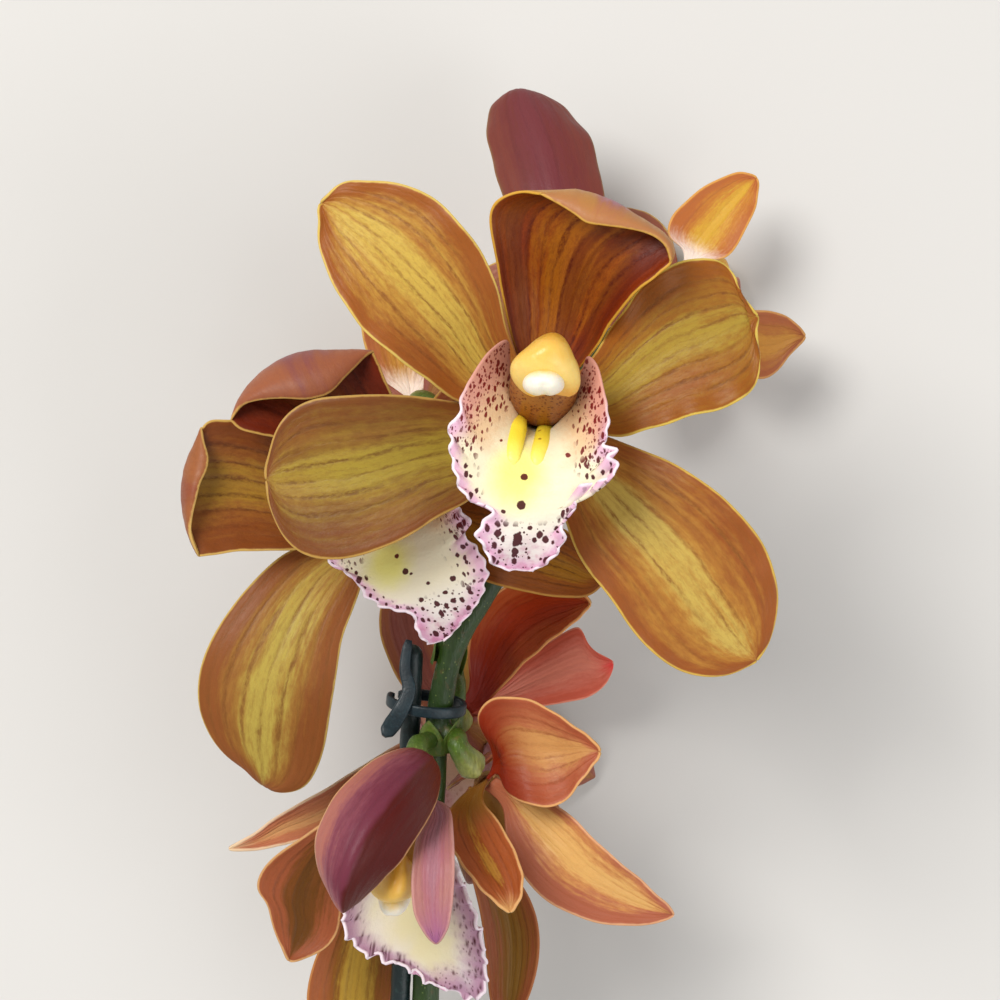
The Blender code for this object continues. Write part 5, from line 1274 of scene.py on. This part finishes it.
OUTER = {
    "front_dorsal_sepal": dict(centre="#9A6470", mid="#A8684A", edge="#B4803C", rim="#D2A650", vein="#6E4038", veins=6, vein_amount=0.12, spread_in=(0.2, 0.75), tip="#A87048", mottle=0.35),
    "left_dorsal_sepal": dict(centre="#7E4C4E", mid="#844A44", edge="#96583A", rim="#D2A85C", vein="#5E3038", veins=6, vein_amount=0.22, base="#7E4230", mottle=0.4),
    "left_left_petal": dict(centre="#8E5034", mid="#8A4A30", edge="#965A34", rim="#CDAA60", vein="#5E3018", veins=6, vein_amount=0.2),
    # painted shade: the deep red right half and the dark red base stand for the shade on this cupped, keeled sepal
    "lower_left_dorsal_sepal": dict(centre="#6A2C3C", mid="#824450", edge="#A46458", rim="#D8A874", vein="#4E1C28", base="#5A1806", base_len=0.24, veins=6, vein_amount=0.18,
                                    spread_in=(0.25, 0.9), half=("#4E0C02", -0.06, 0.10, 0.97), mottle=0.15, rim_w=0.5),
    "top_dorsal_sepal": dict(centre="#6E3236", mid="#6C302E", edge="#74382E", rim="#8E6A40", vein="#4E2026", veins=6, vein_amount=0.2, base="#5A2222", mottle=0.2,
                             half=("#7A5038", -0.82, -0.97, 0.8)),
}


def main():
    rows, cols = 66, 33
    u = 1 - (1 - np.linspace(0, 1, rows)) ** 1.35
    u = np.minimum(u, 0.9965)
    t = np.linspace(-1, 1, cols)
    grids = tepals(u, t)
    shared = {}
    for i, (name, (grid, look)) in enumerate(grids.items()):
        hood = name in ("front_dorsal_sepal", "left_dorsal_sepal", "left_left_petal")
        size = float(np.clip(np.linalg.norm(grid[:, 0] - grid[:, -1], axis=1).max() / 24.0, 0.2, 1.0)) ** 1.3
        g = relief(soften(grid, 4), look, 100 + i, 0.10 if hood else 0.30 * size, 0.12 if hood else 0.28 * size)
        if name == "lower_left_dorsal_sepal":
            # its back is keeled along the middle
            g[..., 2] += 1.3 * np.clip(1 - abs(t) / 0.75, 0, 1)[None] ** 1.1 * (sstep(0.03, 0.3, u) * (1 - sstep(0.8, 1.0, u)))[:, None]
        verts, faces, slots, st = blade(g, look, 0.85)
        a, b = g.shape[:2]
        e = margin(g)
        ring = [(p, 0) for p in range(a)] + [(a - 1, q) for q in range(1, b)] + [(p, b - 1) for p in range(a - 2, -1, -1)] + [(0, q) for q in range(b - 2, 0, -1)]
        e = e.ravel()
        e = np.concatenate((e, e, np.zeros(len(ring))))
        style = STYLES.get(name, dict(centre="#B89034", mid="#A8702E", edge="#A05C34", rim="#D8AC50", vein="#5E3410"))
        outer = OUTER.get(name)
        if outer is None:
            key = "outer_warm"
            if key not in shared:
                shared[key] = tepal_mat("tepal_outer", "#9A6A34", "#945C34", "#925440", "#C8A45C", "#6A3A20", veins=7, vein_amount=0.25, blush=("#8E4E4C", 0.5), seed=3.3)
            om = shared[key]
        else:
            om = tepal_mat(name + "_outer", outer["centre"], outer["mid"], outer["edge"], outer["rim"], outer["vein"], seed=i * 1.7 + 0.4,
                           **{k: v for k, v in outer.items() if k not in ("centre", "mid", "edge", "rim", "vein")})
        im = tepal_mat(name + "_inner", style["centre"], style["mid"], style["edge"], style["rim"], style["vein"], seed=i * 1.3,
                       **{k: v for k, v in style.items() if k not in ("centre", "mid", "edge", "rim", "vein")})
        ob = piece(name + "_fine", verts, faces, [im, om], slots, st, {"edge": e})
        done(ob, [name])

    keel = keel_mat("keel_yellow")
    white = pollen_mat("pollen_cream")
    colm, capm = column_mat("column_speckled"), cap_mat("anther_cap")
    loc = lambda x, y, z=95.0: tuple(FRONT.local(at(x, y, z))[:2])
    spots = [(*loc(524, 478), 0.62, 0.9), (*loc(521, 505), 0.72, 1.0), (*loc(518, 538), 0.75, 1.5), (*loc(515, 550), 0.62, 1.0), (*loc(530, 527), 0.45, 0.8), (*loc(545, 538), 0.5, 1.1),
             (*loc(503, 511), 0.42, 0.7), (*loc(569, 456), 0.5, 0.8), (*loc(500, 441), 0.32, 0.9)]
    loc2 = lambda x, y, z=67.0: tuple(LEFT.local(at(x, y, z))[:2])
    spots2 = [(*loc2(397, 557), 0.5, 0.9), (*loc2(407, 571), 0.65, 0.9), (*loc2(413, 573), 0.35, 0.8), (*loc2(430, 582), 0.42, 0.8), (*loc2(421, 599), 0.5, 1.0),
              (*loc2(455, 577), 0.6, 0.9), (*loc2(446, 591), 0.55, 0.7)]
    lm_front = lip_mat("lip_front_inner", spots, seed=1.0)
    lm_left = lip_mat("lip_left_inner", spots2, seed=5.0, yc=-8.0, yr=5.0)
    lm_other = lip_mat("lip_inner", spots[:4], seed=9.0)
    # the lower lip's dimmed colours are painted shade
    lm_low_shaded = lip_mat("lip_lower_inner_shaded", [], seed=14.0, blur=3.5, plain_and_shaded=True)
    lm_out = lip_mat("lip_outer", [], seed=12.0, inside=False)
    lm_rosy = lip_mat("lip_outer_rosy", [], seed=13.0, inside=False, wash=("#9A5A44", 0.7))
    for k, f in enumerate(FLOWERS):
        n = f.name
        slim = SLIM.get(n, 1.0)
        if f is FRONT:
            ob, W, G = lip_piece(f, FRONT_LIP, FRONT, 150, 91, 11, [lm_front, lm_out], frill=0.8)
            ridge(f, W, [(518.5, 414), (517.5, 426), (515, 441), (513, 456), (513, 466)], 1.5, 1.4, "k1", keel)
            ridge(f, W, [(548.5, 420), (545.5, 432), (541.5, 446), (537.5, 458), (536.5, 467)], 1.5, 1.4, "k2", keel)
        elif f is LEFT:
            ob, W, G = lip_piece(f, LEFT_LIP, LEFT, 140, 85, 23, [lm_left, lm_out], frill=0.75)
            ridge(f, W, [(378, 512), (378, 524), (379, 536), (382, 548)], 1.2, 1.2, "k1", keel)
            ridge(f, W, [(397, 505), (397, 518), (398, 530), (401, 542)], 1.2, 1.2, "k2", keel)
        elif f is LOW_LEFT:
            ob, W, G = lip_piece(f, LOW_LIP, LOW_LEFT, 120, 81, 57, [lm_low_shaded, lm_out], frill=0.9)
        else:
            ob, W, G = lip_piece(f, FRONT_LIP, FRONT, 84, 51, 31 + k, [lm_other, lm_rosy], slim, 0.8)
        done(ob, [n + "_lip"])
        for key, nm in (("k1", "_lip_ridge_a"), ("k2", "_lip_ridge_b")):
            if key in bpy.data.objects:
                r = bpy.data.objects[key]
                r.name = n + nm
                done(r, [])
        wide = NARROW.get(n, 1.0)
        done(column_piece(f, n + "_column_fine", colm, wide), [n + "_column"])
        done(cap_piece(f, n + "_anther_cap", capm, wide), [])
        done(pollen_piece(f, n + "_pollen", white, wide), [])

    stem, line, low, end = build_stem(stem_mat("stem_green"))
    done(stem, ["stem"])

    # sheaths where the stalks leave the stem
    bract = simple_mat("bract_green", "#3A5218", "#56681F", 0.3, 0.5, sss=0.05, c3="#7A6A3A")
    for key, (fl, start, lift) in STALKS.items():
        l = stalk(fl, start, lift)
        d = unit(l[30] - l[0])
        j = int(np.argmin(np.linalg.norm(line - start, axis=1)))
        run = unit(line[min(j + 4, len(line) - 1)] - line[max(j - 4, 0)])
        side = unit(d - run * np.dot(d, run))
        across = np.cross(run, side)
        r0 = float(np.interp(j / len(line), (0, 0.62, 1.0), STEM_R)) + 0.25
        U = np.linspace(0, 1, 22)
        T = np.linspace(-1, 1, 15)
        gg = np.empty((22, 15, 3))
        for a_, uu in enumerate(U):
            wd = (1 - uu**1.8) * 0.95 + 0.02
            out_ = r0 + 0.9 * uu**1.5
            for b_, tt in enumerate(T):
                ang = tt * wd
                gg[a_, b_] = line[j] + run * (-2.2 + 6.2 * uu) + (side * math.cos(ang) + across * math.sin(ang)) * out_
        v, fc, sl, st = blade(gg, -side, 0.35)
        done(piece("bract_" + key, v, fc, [bract, bract], sl, st), [])

    off = np.array((-(STEM_R[1] + STAKE_R + 0.7), 0, -1.2))
    up = unit(at(438.5, 720, 43.0) - end)
    b = at(438.5, 720, 43.0) + off + up * 13
    a = b - up * 226
    k = np.concatenate((np.linspace(0, 0.006, 5), np.linspace(0.01, 0.99, 180), np.linspace(0.994, 1.0, 5)))
    r = STAKE_R * np.sqrt(np.clip(1 - np.clip((0.008 - k) / 0.008, 0, 1) ** 2, 0.05, 1)) * np.sqrt(np.clip(1 - np.clip((k - 0.992) / 0.008, 0, 1) ** 2, 0.05, 1))
    rg = tube_rings(np.array([a, b]), k, r, 26)
    mid = rg.mean(1, keepdims=True)
    ph = np.arange(26) * 2 * math.pi / 26
    bumps = 1 + 0.035 * np.cos(ph * 4)[None, :, None] * np.cos(k * 400)[:, None, None]
    v, fc = loft(mid + (rg - mid) * np.minimum(bumps, 1.02))
    done(piece("support_stake_fine", v, fc, [simple_mat("stake_coating", "#16272A", "#101D1C", 0.2, 0.42, c3="#27403E")]), ["support_stake"])

    teal = simple_mat("clip_plastic", "#16282F", "#101E25", 0.35, 0.4, c3="#213A42", bump=0.0001)
    hub = at(440.3, 704, 43.8) + off * 0.5
    axis = unit(at(441, 700, 44.0) - low)
    rx = np.cross(axis, (0, 0, 1.0))
    rz = np.cross(rx, axis)
    ring = np.array([hub + rx * 6.6 * math.cos(q) + rz * 4.3 * math.sin(q) for q in np.radians(np.linspace(205, -140, 120))])

    def strap(path, hw, ht, name, flat=None):
        out = []
        n_ = len(path)
        for i_ in range(n_):
            q = unit(path[min(i_ + 1, n_ - 1)] - path[max(i_ - 1, 0)])
            if flat is None:
                o = np.cross(axis, q)
                x_, y_ = axis, unit(o)
            else:
                x_ = unit(np.cross(q, flat))
                y_ = np.cross(x_, q)
            endk = min(1.0, (i_ + 0.5) / 4, (n_ - i_ - 0.5) / 4)
            s_ = []
            for m_ in range(20):
                an = 2 * math.pi * m_ / 20
                c_, s__ = math.cos(an), math.sin(an)
                s_.append(path[i_] + x_ * math.copysign(abs(c_) ** 0.45, c_) * hw[i_] * (0.6 + 0.4 * endk) + y_ * math.copysign(abs(s__) ** 0.45, s__) * ht[i_] * (0.6 + 0.4 * endk))
            out.append(s_)
        v_, f_ = loft(np.array(out))
        return piece(name, v_, f_, [teal])

    clip = strap(ring, np.full(120, 0.95), np.full(120, 0.5), "stake_clip_ring")
    done(clip, ["stake_clip"])
    arm = along(smooth([at(409, 640, 46.8), at(405, 668, 47.2), at(409, 690, 47.5), at(401, 710, 47.9), at(384, 736, 50)], 200)[0], np.linspace(0, 1, 60))
    w_ = np.interp(np.linspace(0, 1, 60), (0.0, 0.2, 0.4, 0.55, 0.7, 0.85, 0.96, 1.0), (0.8, 0.9, 1.1, 1.2, 1.35, 1.5, 1.3, 0.7))
    done(strap(arm, w_, np.full(60, 0.6), "stake_clip_arm", np.array((0, 0, 1.0))), [])


main()

# ============================================================ camera, floor and light
sc = bpy.context.scene
sc.view_settings.view_transform = "Standard"
sc.view_settings.look = "None"
cam = bpy.data.cameras.new("camera")
cam.sensor_width = 36
cam.lens = 36 * 450 / 155.0
cam.clip_start, cam.clip_end = 0.01, 20
co = bpy.data.objects.new("camera", cam)
co.location = ((0 - ORIGIN[0]) * 0.001, (0 - ORIGIN[1]) * 0.001, (EYE - ORIGIN[2]) * 0.001)
sc.collection.objects.link(co)
sc.camera = co

me = bpy.data.meshes.new("floor")
me.from_pydata([(-3, -3, 0), (3, -3, 0), (3, 3, 0), (-3, 3, 0)], [], [(0, 1, 2, 3)])
fm = bpy.data.materials.new("floor")
fm.use_nodes = True
fm.node_tree.nodes["Principled BSDF"].inputs["Base Color"].default_value = (0.62, 0.61, 0.59, 1)
fm.node_tree.nodes["Principled BSDF"].inputs["Roughness"].default_value = 0.8
me.materials.append(fm)
floor = bpy.data.objects.new("floor", me)
sc.collection.objects.link(floor)

world = bpy.data.worlds.new("studio")
sc.world = world
world.use_nodes = True
world.node_tree.nodes["Background"].inputs[0].default_value = (1.0, 0.98, 0.96, 1)
world.node_tree.nodes["Background"].inputs[1].default_value = 0.55


def area(name, loc, aim, size, power, colour=(1, 1, 1)):
    l = bpy.data.lights.new(name, "AREA")
    l.shape, l.size, l.energy, l.color = "DISK", size, power, colour
    o = bpy.data.objects.new(name, l)
    o.location = loc
    d = np.asarray(aim, float) - np.asarray(loc, float)
    from mathutils import Vector
    o.rotation_euler = Vector(d).to_track_quat("-Z", "Y").to_euler()
    sc.collection.objects.link(o)


area("key", (-0.50, 0.55, 1.05), (0, 0.06, 0.05), 0.6, 12.6, (1.0, 0.98, 0.95))
area("fill", (0.8, -0.45, 0.9), (0, 0.02, 0.05), 1.0, 6.0, (0.97, 0.98, 1.0))
